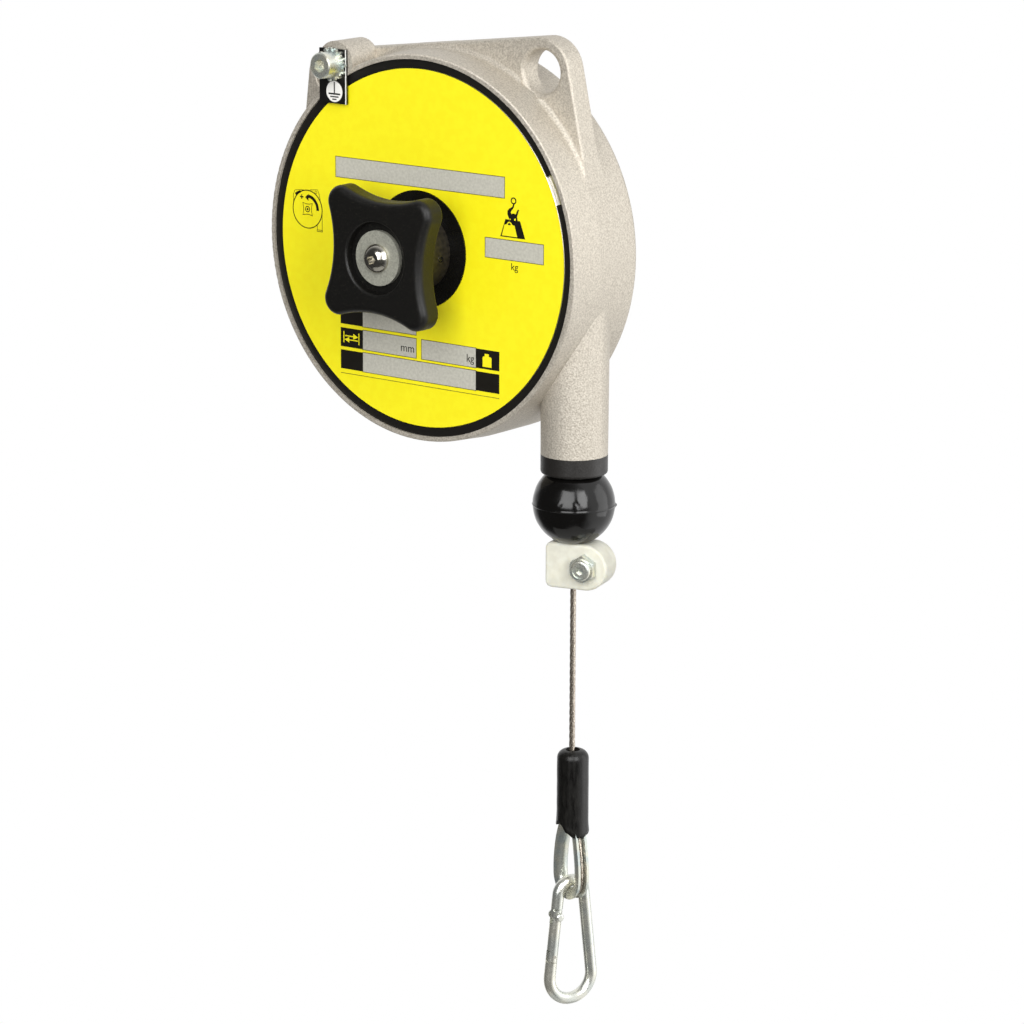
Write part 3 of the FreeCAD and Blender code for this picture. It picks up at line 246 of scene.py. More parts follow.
# Black-oxide spring steel: an even soft black with a dull sheen.
black_oxide, tree, shader = surface("black_oxide_steel", "#14120f", 0.0, 0.42)
oxide = grain(tree, 0.8, 2.0)
uneven_gloss(tree, shader, oxide.outputs["Fac"], 0.36, 0.5)
roughen(tree, shader, oxide.outputs["Fac"], 0.012)
finish(black_oxide, "cover_retaining_ring")

# Laminated vinyl film: bright yellow, smooth, with the slight orange-peel of a laminate.
label_film, tree, shader = surface("laminated_yellow_vinyl", "#fcf01a", 0.0, 0.38)
peel = grain(tree, 2.5, 1.0)
two_tones(tree, shader, "#fdf21c", "#fbee17", peel.outputs["Fac"])
roughen(tree, shader, peel.outputs["Fac"], 0.012)
finish(label_film, "front_label")

black_ink, tree, shader = surface("black_printing_ink", "#16130d", 0.0, 0.4)
uneven_gloss(tree, shader, grain(tree, 1.5).outputs["Fac"], 0.36, 0.46)
outline_ink, tree, shader = surface("thin_outline_ink", "#5c5420", 0.0, 0.4)
uneven_gloss(tree, shader, grain(tree, 1.5).outputs["Fac"], 0.36, 0.46)
grey_ink, tree, shader = surface("writable_grey_ink", "#bfbdb1", 0.0, 0.55)
fleck = grain(tree, 0.9, 3.0)
two_tones(tree, shader, "#c6c4b8", "#b7b5a9", fleck.outputs["Fac"])

label_low, label_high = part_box("front_label")
label_x = (label_low.x + label_high.x) / 2
label_z = (label_low.z + label_high.z) / 2
label_y = label_low.y
ink_thickness = 0.02 * MM
facing_front = Matrix.Rotation(math.pi / 2, 4, "X")


def flat_mesh(drawing):
    """A filled flat drawing, thick as a layer of ink, as a mesh."""
    drawing.dimensions = "2D"
    drawing.fill_mode = "BOTH"
    drawing.extrude = ink_thickness / 2
    sketch = bpy.data.objects.new("sketch", drawing)
    bpy.context.scene.collection.objects.link(sketch)
    bpy.context.view_layer.update()
    mesh = bpy.data.meshes.new_from_object(sketch.evaluated_get(bpy.context.evaluated_depsgraph_get()))
    bpy.data.objects.remove(sketch)
    return mesh


def printed(name, drawings, material, depth):
    """Ink on the label's front from flat drawings about its centre, each filled by itself."""
    whole = bmesh.new()
    for drawing in drawings:
        whole.from_mesh(flat_mesh(drawing))
    mesh = bpy.data.meshes.new(name)
    whole.to_mesh(mesh)
    whole.free()
    mesh.transform(Matrix.Translation((label_x, label_y - depth, label_z)) @ facing_front)
    mesh.materials.append(material)
    ink = bpy.data.objects.new(name, mesh)
    bpy.context.scene.collection.objects.link(ink)
    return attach(ink, "housing")


def outlines(*loops):
    """A flat drawing from closed outlines of points (x, z), in millimetres about the label's centre."""
    drawing = bpy.data.curves.new("drawing", "CURVE")
    for loop in loops:
        line = drawing.splines.new("POLY")
        line.points.add(len(loop) - 1)
        for point, (x, z) in zip(line.points, loop):
            point.co = (x * MM, z * MM, 0, 1)
        line.use_cyclic_u = True
    return drawing


def box_outline(left, right, bottom, top):
    return [(left, bottom), (right, bottom), (right, top), (left, top)]


def round_outline(x, z, radius, count=40):
    return [(x + radius * math.cos(2 * math.pi * k / count),
             z + radius * math.sin(2 * math.pi * k / count)) for k in range(count)]


def stroke(points, width):
    """The outline of a line of even width through the points."""
    left, right = [], []
    for i, (x, z) in enumerate(points):
        before = points[max(i - 1, 0)]
        after = points[min(i + 1, len(points) - 1)]
        dx, dz = after[0] - before[0], after[1] - before[1]
        size = math.hypot(dx, dz)
        left.append((x - dz / size * width / 2, z + dx / size * width / 2))
        right.append((x + dz / size * width / 2, z - dx / size * width / 2))
    return left + right[::-1]


def arc_points(x, z, radius, start, end, count=16):
    return [(x + radius * math.cos(math.radians(start + (end - start) * k / count)),
             z + radius * math.sin(math.radians(start + (end - start) * k / count)))
            for k in range(count + 1)]


outline_width = 0.22
row_height = 6.4
row_bottoms = (-28.6, -36.3, -43.8)
left_edge, left_field, gap_left, gap_right, right_field, right_edge = -33.8, -24.2, -1.5, 0.9, 23.5, 33.2


def row_box(left, right, row):
    return (left, right, row_bottoms[row], row_bottoms[row] + row_height)


field_boxes = [
    (-35.4, 35.0, 20.5, 27.1),
    (27.35, 50.8, 0.65, 6.9),
    row_box(left_field, gap_left, 0),
    row_box(left_field, gap_left, 1),
    row_box(gap_right, right_field, 1),
    row_box(left_field, right_field, 2),
]
printed("label_grey_fields", [outlines(box_outline(*box)) for box in field_boxes], grey_ink,
        ink_thickness / 2)
rims = []
for left, right, bottom, top in field_boxes:
    outer = box_outline(left - outline_width, right + outline_width, bottom - outline_width,
                        top + outline_width)
    rims.append(outlines(outer, box_outline(left, right, bottom, top)))
rims.append(outlines(box_outline(left_edge, right_edge, -45.4, -45.2)))
printed("label_field_outlines", rims, outline_ink, ink_thickness)

# The travel sign is two opposed arrows between two posts, left clear in the middle left block.
travel_sign = [
    stroke([(-32.45, -31.1), (-32.45, -34.9)], 0.45),
    stroke([(-25.95, -31.2), (-25.95, -35.1)], 0.45),
    [(-32.0, -32.35), (-28.4, -32.35), (-28.4, -31.55), (-26.2, -32.55), (-28.4, -33.55),
     (-28.4, -32.75), (-32.0, -32.75)],
    [(-26.4, -34.0), (-30.1, -34.0), (-30.1, -34.8), (-32.2, -33.8), (-30.1, -32.85), (-30.1, -33.6),
     (-26.4, -33.6)],
]
# The weight sign is a round-shouldered block with a knob on top, clear in the upper right block.
weight_sign = [(26.3, -35.6), (30.0, -35.6), (30.0, -32.5), (29.7, -32.15), (28.9, -32.15),
               (28.9, -31.2), (27.1, -31.2), (27.1, -32.15), (26.6, -32.15), (26.3, -32.5)]
printed("label_black_blocks", [
    outlines(box_outline(*row_box(left_edge, left_field, 0))),
    outlines(box_outline(*row_box(left_edge, left_field, 1)), *travel_sign),
    outlines(box_outline(*row_box(left_edge, left_field, 2))),
    outlines(box_outline(*row_box(right_field, right_edge, 1)), weight_sign),
    outlines(box_outline(*row_box(right_field, right_edge, 2))),
], black_ink, ink_thickness)

# The turning sign: the balancer's own outline, its knob, and an arrow and a plus for more pull.
turn_x, turn_z, turn_r = -47.9, 8.25, 6.35
knob_half, knob_side = 2.2, 1.85
thin_line, thin_half = 0.18, 0.17


def around_turn(radius, start, end, count=24):
    return arc_points(turn_x, turn_z, radius, start, end, count)


def shifted(points):
    return [(turn_x + x, turn_z + z) for x, z in points]


knob_sign = [(-knob_half, knob_half), (-knob_side, 0.7), (-knob_side, -0.7), (-knob_half, -knob_half),
             (-0.7, -knob_side), (0.7, -knob_side), (knob_half, -knob_half), (knob_side, -0.7),
             (knob_side, 0.7), (knob_half, knob_half), (0.7, knob_side), (-0.7, knob_side)]
knob_inside = [(x * 0.88, z * 0.88) for x, z in knob_sign]
plus_x, plus_z, plus_arm, plus_half = -2.5, 3.95, 0.75, 0.2
printed("label_turning_sign", [
    outlines(round_outline(turn_x, turn_z, turn_r + thin_half, 72),
             round_outline(turn_x, turn_z, turn_r - thin_half, 72)),
    outlines(around_turn(4.95, -2, 84) + around_turn(3.9, -2, 84)[::-1]),
    outlines(shifted([(0.45, 5.2), (-1.0, 3.95), (0.4, 2.8)])),
    outlines(shifted(box_outline(plus_x - plus_arm, plus_x + plus_arm,
                                 plus_z - plus_half, plus_z + plus_half))),
    outlines(shifted(box_outline(plus_x - plus_half, plus_x + plus_half,
                                 plus_z - plus_arm, plus_z + plus_arm))),
    outlines(shifted(knob_sign), shifted(knob_inside)),
    outlines(round_outline(turn_x, turn_z, 1.05, 32), round_outline(turn_x, turn_z, 0.75, 32)),
    outlines(round_outline(turn_x, turn_z, 0.4, 20)),
    outlines(stroke(shifted([(-6.1, 2.0), (-6.1, 4.6), (-5.5, 5.9), (-3.2, 6.2), (-1.5, 6.3)]),
                    thin_line)),
    outlines(stroke(shifted([(-5.3, 4.6), (-4.2, 5.2), (-3.0, 5.7)]), 0.8)),
    outlines(stroke(shifted([(1.2, 6.6), (4.4, 6.9), (5.0, 5.8), (5.6, 3.1)]), thin_line)),
    outlines(round_outline(turn_x + 3.7, turn_z + 6.0, 0.5, 20),
             round_outline(turn_x + 3.7, turn_z + 6.0, 0.34, 20)),
    outlines(stroke(shifted([(4.2, -4.9), (4.2, -6.4)]), thin_line)),
    outlines(stroke(shifted([(6.35, -1.0), (6.35, -6.4)]), thin_line)),
    outlines(box_outline(turn_x + 4.0, turn_x + 6.5, turn_z - 7.1, turn_z - 6.4),
             box_outline(turn_x + 4.2, turn_x + 6.3, turn_z - 6.9, turn_z - 6.6)),
], black_ink, ink_thickness)

# The load sign: an open hook that carries a block weight, drawn with its dark side.
printed("label_load_sign", [
    outlines(round_outline(38.75, 19.9, 1.14, 36), round_outline(38.75, 19.9, 0.72, 36)),
    outlines([(38.55, 18.9), (38.4, 18.2), (37.9, 17.7), (37.0, 17.3), (36.35, 16.5), (36.25, 15.5),
              (36.6, 14.7), (36.9, 14.1), (36.9, 13.65), (35.5, 13.75), (33.4, 7.95), (43.5, 7.95),
              (41.4, 13.6), (40.35, 13.7), (40.2, 14.9), (40.5, 15.9), (41.0, 17.15), (40.5, 17.3),
              (40.0, 16.5), (39.65, 15.6), (38.9, 15.85), (38.2, 15.75), (37.9, 15.5), (37.65, 15.9),
              (37.8, 16.5), (38.4, 17.2), (38.9, 17.9), (39.1, 18.9)],
             [(35.1, 11.95), (34.0, 8.3), (40.3, 8.3), (39.2, 11.95), (38.2, 12.1), (37.9, 12.7),
              (37.1, 13.1), (36.4, 12.8), (36.0, 12.1)],
             round_outline(37.35, 13.85, 0.25, 16), round_outline(39.35, 13.9, 0.38, 20)),
    outlines(arc_points(37.05, 11.95, 0.62, 0, 180, 14)),
], black_ink, ink_thickness)


def unit_mark(name, words, x, z, height):
    """The name of a unit, as small plain letters that end at x."""
    letters = bpy.data.curves.new(name, "FONT")
    letters.body = words
    letters.size = height * MM
    letters.align_x = "RIGHT"
    letters.offset_x = x * MM
    letters.offset_y = z * MM
    return printed(name, [letters], black_ink, 1.5 * ink_thickness)


unit_mark("label_mm", "mm", -2.1, -34.7, 3.9)
unit_mark("label_kg", "kg", 22.8, -34.7, 3.6)
unit_mark("label_load_kg", "kg", 40.7, -2.5, 3.3)


# ---- Earthing point --------------------------------------------------------------------------
# A black plate under a zinc-plated socket screw and two toothed lock washers, with the white
# protective-earth sign and one bare cut edge.
# Bright zinc plating: pale cool grey, softly glossy, faintly straw and blue from the passivation.
zinc_plated, tree, shader = surface("bright_zinc_plated_steel", "#dcdccf", 0.8, 0.28)
passivation = grain(tree, 5.0, 2.0)
two_tones(tree, shader, "#e4e2d2", "#c6cfcc", passivation.outputs["Fac"])
frost = grain(tree, 0.35, 2.0)
uneven_gloss(tree, shader, frost.outputs["Fac"], 0.24, 0.38)
roughen(tree, shader, frost.outputs["Fac"], 0.012)
finish(zinc_plated, "ground_tooth_washers", "ground_screw")

black_plate, tree, shader = surface("black_anodised_plate", "#12110f", 0.0, 0.36)
uneven_gloss(tree, shader, grain(tree, 0.9).outputs["Fac"], 0.3, 0.44)
finish(black_plate, "ground_plate")

white_ink, tree, shader = surface("white_printing_ink", "#f4f3ee", 0.0, 0.45)
uneven_gloss(tree, shader, grain(tree, 1.5).outputs["Fac"], 0.4, 0.5)

plate_low, plate_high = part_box("ground_plate")
plate_right = (plate_high.x - label_x) / MM
plate_bottom = (plate_low.z - label_z) / MM
plate_top = (plate_high.z - label_z) / MM
on_plate = label_y - plate_low.y + ink_thickness / 2
sign_x, sign_z, sign_r = plate_right - 5.1, plate_bottom + 3.9, 3.45
bare_edge_width = 0.45
earth = [
    round_outline(sign_x, sign_z, sign_r, 48),
    box_outline(sign_x - 0.25, sign_x + 0.25, sign_z - 0.55, sign_z + 3.1),
    box_outline(sign_x - 2.5, sign_x + 2.5, sign_z - 1.05, sign_z - 0.5),
    box_outline(sign_x - 1.8, sign_x + 1.8, sign_z - 1.95, sign_z - 1.5),
    box_outline(sign_x - 0.9, sign_x + 0.9, sign_z - 2.75, sign_z - 2.35),
]
printed("earth_sign", [outlines(*earth)], white_ink, on_plate)
bare_edge = box_outline(plate_right - bare_edge_width, plate_right, plate_bottom, plate_top)
printed("plate_white_edge", [outlines(bare_edge)], white_ink, on_plate)


# ---- Adjuster --------------------------------------------------------------------------------
# A four-lobed moulded knob on a black hub that runs in a flanged plastic bush. A pale washer and
# a star-drive button screw hold the knob; a small cross pin shows in the side of the hub.
# Glass-filled nylon from a spark-eroded mould: black, with the fine speckle of its shine painted into
# the colour as light specks, which are painted glints.
black_nylon, tree, shader = surface("spark_textured_black_nylon", "#0e0d0b", 0.0, 0.42)
shader.inputs["Specular IOR Level"].default_value = 0.4
texture_and_glint_specks = grain(tree, 0.4, 3.0)
# The light tone is painted glints: small light specks put into the black base colour.
two_tones(tree, shader, "#3b382f", "#0e0d0b", texture_and_glint_specks.outputs["Fac"], 0.62, 0.74)
uneven_gloss(tree, shader, texture_and_glint_specks.outputs["Fac"], 0.3, 0.56)
roughen(tree, shader, texture_and_glint_specks.outputs["Fac"], 0.05)
finish(black_nylon, "knob")

smooth_nylon, tree, shader = surface("smooth_black_nylon", "#100f0d", 0.0, 0.26)
uneven_gloss(tree, shader, grain(tree, 2.0).outputs["Fac"], 0.2, 0.34)
finish(smooth_nylon, "adjuster_bush")

# The hub's warm dark grey is painted light: its side as lit from the right, warmed by a painted
# reflection of the yellow label.
hub_nylon_painted_light, tree, shader = surface("black_nylon_painted_lit_side", "#2a261d", 0.0, 0.36)
hub_mottle = grain(tree, 1.2, 3.0)
# Both tones are painted light: the lit side, warmed by the label's painted reflection, mottled at
# random.
two_tones(tree, shader, "#353027", "#1e1b15", hub_mottle.outputs["Fac"])
uneven_gloss(tree, shader, hub_mottle.outputs["Fac"], 0.28, 0.44)
finish(hub_nylon_painted_light, "hub")

# Tumbled zinc washer: pale, flat and slightly scuffed.
tumbled_washer, tree, shader = surface("tumbled_zinc_washer", "#c0c0b2", 0.5, 0.5)
scuff = grain(tree, 0.5, 3.0)
two_tones(tree, shader, "#c8c8ba", "#aeaea1", scuff.outputs["Fac"])
uneven_gloss(tree, shader, scuff.outputs["Fac"], 0.34, 0.5)
roughen(tree, shader, scuff.outputs["Fac"], 0.02)
finish(tumbled_washer, "knob_washer")

bright_steel, tree, shader = surface("bright_turned_steel", "#bdb9ae", 1.0, 0.18)
uneven_gloss(tree, shader, grain(tree, 0.6).outputs["Fac"], 0.12, 0.24)
finish(bright_steel, "knob_screw", "hub_pin", "arbor", "gate_latch_pin")


# ---- Ratchet, drum and power spring ----------------------------------------------------------
# Inside the closed housing: steel ratchet parts, a turned drum on bronze bushes, the flat power
# spring and the wound rope.
plain_steel, tree, shader = surface("oiled_plain_steel", "#8f8b84", 1.0, 0.34)
uneven_gloss(tree, shader, grain(tree, 0.8).outputs["Fac"], 0.28, 0.42)
finish(plain_steel, "ratchet_wheel", "pawl", "pawl_pin", "spring_cover")

spring_steel, tree, shader = surface("blued_spring_steel", "#6c6b6d", 1.0, 0.3)
uneven_gloss(tree, shader, grain(tree, 0.6).outputs["Fac"], 0.24, 0.38)
finish(spring_steel, "pawl_spring", "power_spring", "gate_spring")

finish(turned_aluminium, "drum")

oiled_bronze, tree, shader = surface("sintered_bronze", "#9a7444", 1.0, 0.45)
roughen(tree, shader, grain(tree, 0.4).outputs["Fac"], 0.02)
finish(oiled_bronze, "drum_bushes")


# ---- Rope ------------------------------------------------------------------------------------
# Steel wire rope, 2 mm thick: six strands laid right-handed round a core, one turn in 16 mm.
# It leaves the clamp, goes round the thimble and back into the ferrule under the sleeve.
rope_r = 1.0 * MM
strand_count = 6
strand_r = rope_r / 3
lay_length = 16.3 * MM
strand_step = 0.7 * MM
strand_sides = 8

# Drawn steel wire: warm grey where the strands shade each other, bright on their crowns.
drawn_wire, tree, shader = surface("drawn_steel_wire", "#b5aca0", 0.9, 0.34)
wires = grain(tree, 0.4, 2.0)
two_tones(tree, shader, "#d0c8bb", "#85796c", wires.outputs["Fac"])
roughen(tree, shader, wires.outputs["Fac"], 0.03)
finish(drawn_wire, "rope_on_drum")

rope_x = (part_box("buffer_ball")[0].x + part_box("buffer_ball")[1].x) / 2
rope_y = (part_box("buffer_ball")[0].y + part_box("buffer_ball")[1].y) / 2
loop_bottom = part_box("rope_lower")[0].z + rope_r
# Sideways distance from the rope's axis and height above the loop's lowest corners, in metres.
route = [
    (0.0, 0.12125),
    (0.0, 0.04165),
    (0.0, 0.02965),
    (-0.0047, 0.01795),
    (-0.0059, 0.00995),
    (-0.00575, 0.00355),
    (-0.00242, 0.0),
    (0.00242, 0.0),
    (0.00575, 0.00355),
    (0.0059, 0.00995),
    (0.0047, 0.01795),
    (0.0021, 0.02915),
    (0.0021, 0.04645),
]


def smooth_line(points, step):
    """Evenly spaced points along the smooth curve that the given points control."""
    curve = bpy.data.curves.new("route", "CURVE")
    curve.dimensions = "3D"
    curve.resolution_u = 24
    line = curve.splines.new("NURBS")
    line.points.add(len(points) - 1)
    for point, place in zip(line.points, points):
        point.co = (*place, 1)
    line.order_u = 3
    line.use_endpoint_u = True
    holder = bpy.data.objects.new("route", curve)
    bpy.context.scene.collection.objects.link(holder)
    bpy.context.view_layer.update()
    mesh = bpy.data.meshes.new_from_object(holder.evaluated_get(bpy.context.evaluated_depsgraph_get()))
    found = [v.co.copy() for v in mesh.vertices]
    bpy.data.objects.remove(holder)
    even = [found[0]]
    left = step
    for a, b in zip(found, found[1:]):
        run = (b - a).length
        while run >= left and run > 0:
            a = a + (b - a) * (left / run)
            even.append(a)
            run = (b - a).length
            left = step
        left -= run
    even.append(found[-1])
    return even


def laid_rope(name, path, start_turn=0.0):
    """The six strands and the core, as closed round tubes that wind about the path."""
    points = []
    faces = []
    for strand in range(strand_count + 1):
        reach = 0 if strand == strand_count else rope_r - strand_r
        radius = strand_r * (1.05 if strand == strand_count else 1.0)
        first = len(points)
        gone = 0.0
        for i, here in enumerate(path):
            if i:
                gone += (here - path[i - 1]).length
            along = (path[min(i + 1, len(path) - 1)] - path[max(i - 1, 0)]).normalized()
            side = Vector((-math.sin(loop_turn), math.cos(loop_turn), 0))
            other = along.cross(side).normalized()
            angle = 2 * math.pi * (strand / strand_count + gone / lay_length) + start_turn
            middle = here + (side * math.cos(angle) + other * math.sin(angle)) * reach
            for k in range(strand_sides):
                spin = 2 * math.pi * k / strand_sides
                points.append(middle + (side * math.cos(spin) + other * math.sin(spin)) * radius)
        rings = (len(points) - first) // strand_sides
        for i in range(rings - 1):
            for k in range(strand_sides):
                a = first + i * strand_sides + k
                b = first + i * strand_sides + (k + 1) % strand_sides
                faces.append((a, b, b + strand_sides, a + strand_sides))
        faces.append([first + k for k in range(strand_sides)][::-1])
        faces.append([first + (rings - 1) * strand_sides + k for k in range(strand_sides)])
    mesh = bpy.data.meshes.new(name)
    mesh.from_pydata(points, [], faces)
    mesh.shade_smooth()
    mesh.materials.append(drawn_wire)
    rope = bpy.data.objects.new(name, mesh)
    bpy.context.scene.collection.objects.link(rope)
    return rope


loop_turn = math.radians(-20)
rope_path = smooth_line([(rope_x + sideways * math.cos(loop_turn),
                          rope_y + sideways * math.sin(loop_turn),
                          loop_bottom + height) for sideways, height in route], strand_step)
wire_rope = laid_rope("wire_rope", rope_path)
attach(wire_rope, "rope_end")
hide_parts("rope_lower")

# The stretch inside the outlet pays out of the drum, between housing and rope end; here it is a fixed
# straight laid rope.
upper_low, upper_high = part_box("rope_upper")
upper_steps = 160
upper_path = [Vector((rope_x, rope_y, upper_high.z + (upper_low.z - upper_high.z) * k / upper_steps))
              for k in range(upper_steps + 1)]
rope_in_outlet = laid_rope("rope_in_outlet", upper_path)
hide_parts("rope_upper")
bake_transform(rope_in_outlet)


# ---- Outlet bush and buffer ball -------------------------------------------------------------
# A black moulded collar closes the tube. The rubber ball under it stops the rope; it has the
# mould's parting line round its middle, a gate nib, and the marks of use.
# Satin moulded nylon: dark grey where it faces the lamp.
satin_nylon, tree, shader = surface("satin_black_nylon", "#211f1d", 0.0, 0.4)
uneven_gloss(tree, shader, grain(tree, 0.8).outputs["Fac"], 0.36, 0.48)
roughen(tree, shader, grain(tree, 0.7, 3.0).outputs["Fac"], 0.05)
finish(satin_nylon, "rope_outlet_bush")

# Moulded rubber: black, nearly glossy, with a slow ripple and dull rubbed patches.
moulded_rubber, tree, shader = surface("moulded_black_rubber", "#0b0a09", 0.0, 0.2)
rubbed = grain(tree, 5.0, 2.0)
uneven_gloss(tree, shader, rubbed.outputs["Fac"], 0.1, 0.22)
roughen(tree, shader, grain(tree, 3.0, 2.0).outputs["Fac"], 0.04)

ball_low, ball_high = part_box("buffer_ball")
ball_r = (ball_high.x - ball_low.x) / 2
ball_middle = ball_high.z - ball_r
bore_room = 0.3 * MM
bore_r = rope_r + bore_room
bore_lip = 1 * MM
marked_from_r = 3 * MM
parting_rise = 0.2 * MM
parting_half = 0.3 * MM
ball_turns = 128
ball_rings = 96
# What the mould and use left on the ball: which way it lies from the middle, its height or depth,
# and how wide it is, as a share of the ball's radius.
nib, nib_height, nib_width = Vector((0.80, 0.58, -0.03)).normalized(), 0.6 * MM, 0.04
dent, dent_depth, dent_width = Vector((0.25, -0.95, -0.2)).normalized(), 0.35 * MM, 0.16
mark, mark_depth, mark_width = Vector((0.50, -0.86, 0.03)).normalized(), 0.12 * MM, 0.02
mark_reach = 0.27
ripple_height = 0.05 * MM
ripples = 5


def moulded_ball():
    """The ball as rings from its flat foot to the top of its bore, with what the mould left on it."""
    foot = math.asin((ball_low.z - ball_middle) / ball_r)
    top = math.acos(bore_r / ball_r)
    rings = [(bore_r, ball_low.z - ball_middle)]
    even = [foot + (top - foot) * i / ball_rings for i in range(ball_rings + 1)]
    parting = [k * parting_half / 2 / ball_r for k in range(-2, 3)]
    clear_of_parting = [angle for angle in even if abs(angle) > 1.2 * parting_half / ball_r]
    for angle in sorted(clear_of_parting + parting):
        rings.append((ball_r * math.cos(angle), ball_r * math.sin(angle)))
    rings.append((bore_r, ball_low.z - ball_middle + bore_lip))
    points = []
    faces = []
    for row, (radius, rise) in enumerate(rings):
        for k in range(ball_turns):
            turn = 2 * math.pi * k / ball_turns
            place = Vector((radius * math.cos(turn), radius * math.sin(turn), rise))
            if 0 < row < len(rings) - 1 and radius > marked_from_r:
                out = place.normalized()
                lift = parting_rise * max(0.0, 1 - abs(rise) / parting_half)
                lift += nib_height * math.exp(-((out - nib).length / nib_width) ** 2)
                lift -= dent_depth * math.exp(-((out - dent).length / dent_width) ** 2)
                from_mark = abs((out - mark).length - mark_reach)
                lift -= mark_depth * math.exp(-(from_mark / mark_width) ** 2)
                lift += ripple_height * noise.noise(out * ripples)
                place = place + out * lift
            points.append(place + Vector((rope_x, rope_y, ball_middle)))
    for row in range(len(rings)):
        under = row * ball_turns
        over = ((row + 1) % len(rings)) * ball_turns
        for k in range(ball_turns):
            after = (k + 1) % ball_turns
            faces.append((under + k, under + after, over + after, over + k))
    mesh = bpy.data.meshes.new("moulded_ball")
    mesh.from_pydata(points, [], faces)
    mesh.shade_smooth()
    mesh.materials.append(moulded_rubber)
    ball = bpy.data.objects.new("moulded_ball", mesh)
    bpy.context.scene.collection.objects.link(ball)
    return ball


ball = moulded_ball()
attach(ball, "rope_end")
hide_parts("buffer_ball")


# ---- Rope clamp ------------------------------------------------------------------------------
# A block of natural nylon that an M5 screw and a self-locking nut squeeze onto the rope.
# Natural nylon: milky, lets a little light in, with a waxy soft shine.
natural_nylon, tree, shader = surface("natural_nylon", "#eceadb", 0.0, 0.42)
shader.inputs["Subsurface Weight"].default_value = 0.35
shader.inputs["Subsurface Radius"].default_value = (1.0, 0.9, 0.7)
shader.inputs["Subsurface Scale"].default_value = 2.5 * MM
wax = grain(tree, 3.0, 2.0)
two_tones(tree, shader, "#e4e3d5", "#dad8c9", wax.outputs["Fac"])
roughen(tree, shader, grain(tree, 0.8).outputs["Fac"], 0.02)
finish(natural_nylon, "rope_clamp")
finish(zinc_plated, "clamp_nut", "clamp_screw")


# ---- Rope end: sleeve, ferrule and thimble ---------------------------------------------------
# A rubber sleeve, domed round the rope at the top and torn to a slant at the bottom, covers the
# copper ferrule that closes the rope's loop round a zinc-plated thimble.
crimp_copper, tree, shader = surface("crimped_copper", "#a4765a", 1.0, 0.38)
roughen(tree, shader, grain(tree, 0.7).outputs["Fac"], 0.03)
finish(crimp_copper, "ferrule")
finish(zinc_plated, "thimble")

# Extruded rubber: satin black with a dusty, faintly streaked surface.
sleeve_rubber, tree, shader = surface("extruded_black_rubber", "#100f0e", 0.0, 0.32)
shader.inputs["Specular IOR Level"].default_value = 0.35
streak = grain(tree, 0.9, 3.0, (1, 1, 0.25))
two_tones(tree, shader, "#191816", "#0c0b0a", streak.outputs["Fac"])
uneven_gloss(tree, shader, streak.outputs["Fac"], 0.26, 0.4)
roughen(tree, shader, streak.outputs["Fac"], 0.03)

sleeve_low, sleeve_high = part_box("rope_sleeve")
sleeve_x = (sleeve_low.x + sleeve_high.x) / 2
sleeve_y = (sleeve_low.y + sleeve_high.y) / 2
sleeve_r = (sleeve_high.x - sleeve_low.x) / 2
sleeve_wall = 0.9 * MM
sleeve_dome = 3.0 * MM
sleeve_hole = 2.0 * MM
sleeve_hole_edge = 0.3 * MM
sleeve_turns = 72
tear_reach = 10 * MM
edge_curl, curl_power = 0.05, 6
wall_wave, wave_pitch = 0.008, 300
ragged_height, ragged_step, ragged_place = 0.12, 9, 3
# Height of the torn edge against the sleeve's nominal end, by bearing from the side that faces
# the front right, in degrees and millimetres.
front_right = math.atan2(camera_back.y, camera_back.x)
torn_edge = [(-180, 0.3), (-130, 0.6), (-92, 0.5), (-78, 0.2), (-62, 1.6), (-45, 1.0), (-22, -1.6),
             (5, -3.3), (38, -3.4), (62, -2.7), (90, -1.9), (135, -0.4), (180, 0.3)]


def torn_height(turn):
    """Height of the torn edge at that bearing, in metres."""
    bearing = math.degrees(turn - front_right)
    bearing = (bearing + 180) % 360 - 180
    for (a, low), (b, high) in zip(torn_edge, torn_edge[1:]):
        if a <= bearing <= b:
            share = (bearing - a) / (b - a)
            share = share * share * (3 - 2 * share)
            ragged = ragged_height * noise.noise(Vector((bearing / ragged_step, 0, ragged_place)))
            return (low + (high - low) * share + ragged) * MM
    return 0.0


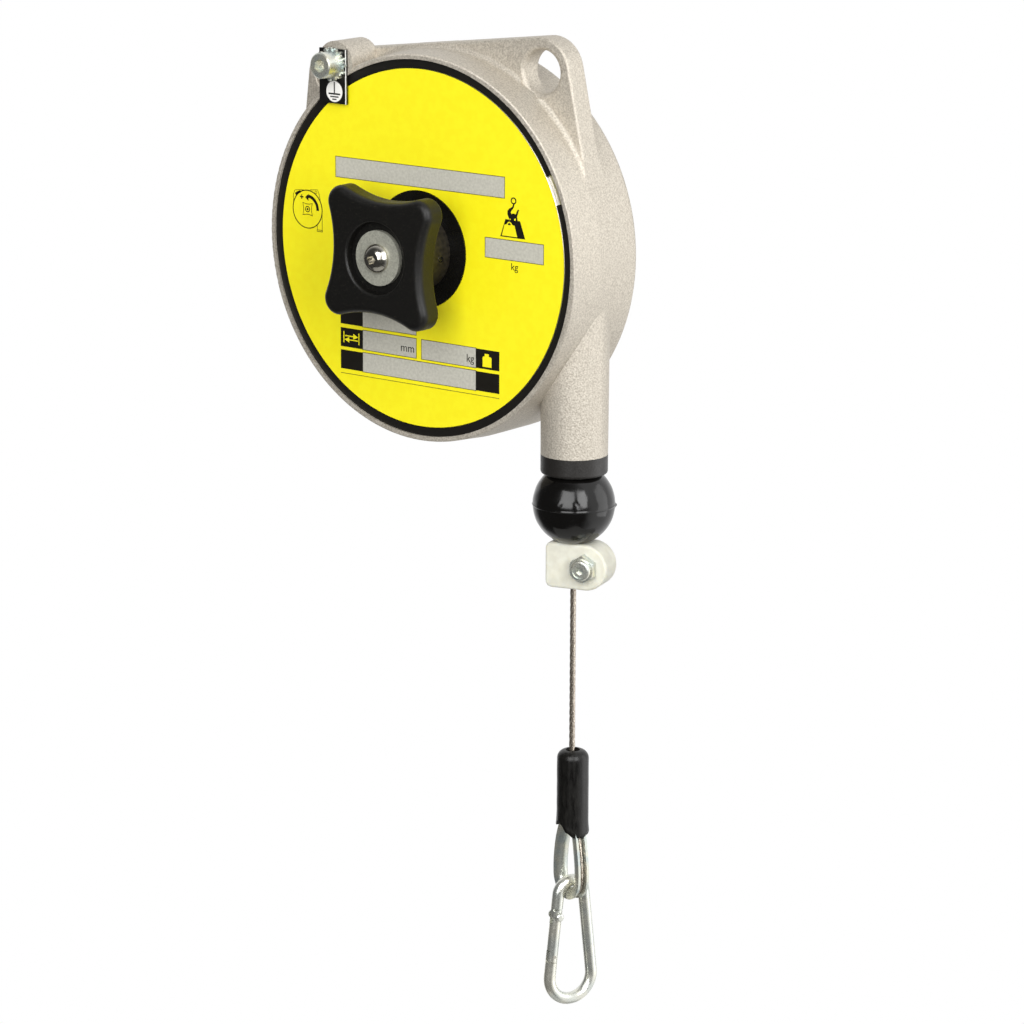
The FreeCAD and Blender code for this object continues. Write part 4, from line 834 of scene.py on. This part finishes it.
def torn_sleeve():
    """The sleeve as rings: up the outside, over the dome, into the hole, and down the inside."""
    height = sleeve_high.z - sleeve_low.z
    outside = [(sleeve_r, height * k / 24) for k in range(20)]
    outside += [(sleeve_r - sleeve_dome + sleeve_dome * math.cos(math.radians(90 * k / 10)),
                 height - sleeve_dome + sleeve_dome * math.sin(math.radians(90 * k / 10)))
                for k in range(11)]
    inner_r = sleeve_r - sleeve_wall
    inside = [(sleeve_hole + sleeve_hole_edge, height), (sleeve_hole, height - sleeve_hole_edge),
              (sleeve_hole, height - sleeve_dome), (inner_r, height - 1.2 * sleeve_dome)]
    inside += [(inner_r, height * k / 12) for k in range(9, -1, -1)]
    rings = outside + inside
    points = []
    faces = []
    for radius, rise in rings:
        for k in range(sleeve_turns):
            turn = 2 * math.pi * k / sleeve_turns
            share = max(0.0, 1 - rise / tear_reach)
            edge = torn_height(turn) * share
            curl = 1 + edge_curl * share ** curl_power
            wave = 1 + wall_wave * noise.noise(Vector((math.cos(turn), math.sin(turn),
                                                       rise * wave_pitch)))
            reach = radius * curl * wave
            points.append((sleeve_x + reach * math.cos(turn), sleeve_y + reach * math.sin(turn),
                           sleeve_low.z + rise + edge))
    for row in range(len(rings)):
        under = row * sleeve_turns
        over = ((row + 1) % len(rings)) * sleeve_turns
        for k in range(sleeve_turns):
            after = (k + 1) % sleeve_turns
            faces.append((under + k, under + after, over + after, over + k))
    mesh = bpy.data.meshes.new("torn_sleeve")
    mesh.from_pydata(points, [], faces)
    mesh.shade_smooth()
    mesh.materials.append(sleeve_rubber)
    sleeve = bpy.data.objects.new("torn_sleeve", mesh)
    bpy.context.scene.collection.objects.link(sleeve)
    return sleeve


sleeve = torn_sleeve()
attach(sleeve, "rope_end")
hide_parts("rope_sleeve")


# ---- Snap hook -------------------------------------------------------------------------------
# Bent from 4 mm round wire, with a hinged gate on a rivet, all barrel-plated with bright zinc.
# Barrel-plated wire: brighter and smoother than the pressed parts, with small knocks.
plated_wire, tree, shader = surface("barrel_plated_wire", "#e2e1d6", 0.8, 0.24)
tint = grain(tree, 6.0, 2.0)
two_tones(tree, shader, "#e8e6d9", "#d2d6d0", tint.outputs["Fac"])
knocks = grain(tree, 1.6, 2.0)
uneven_gloss(tree, shader, knocks.outputs["Fac"], 0.2, 0.3)
roughen(tree, shader, knocks.outputs["Fac"], 0.012)
finish(plated_wire, "snap_hook", "gate", "gate_rivet")
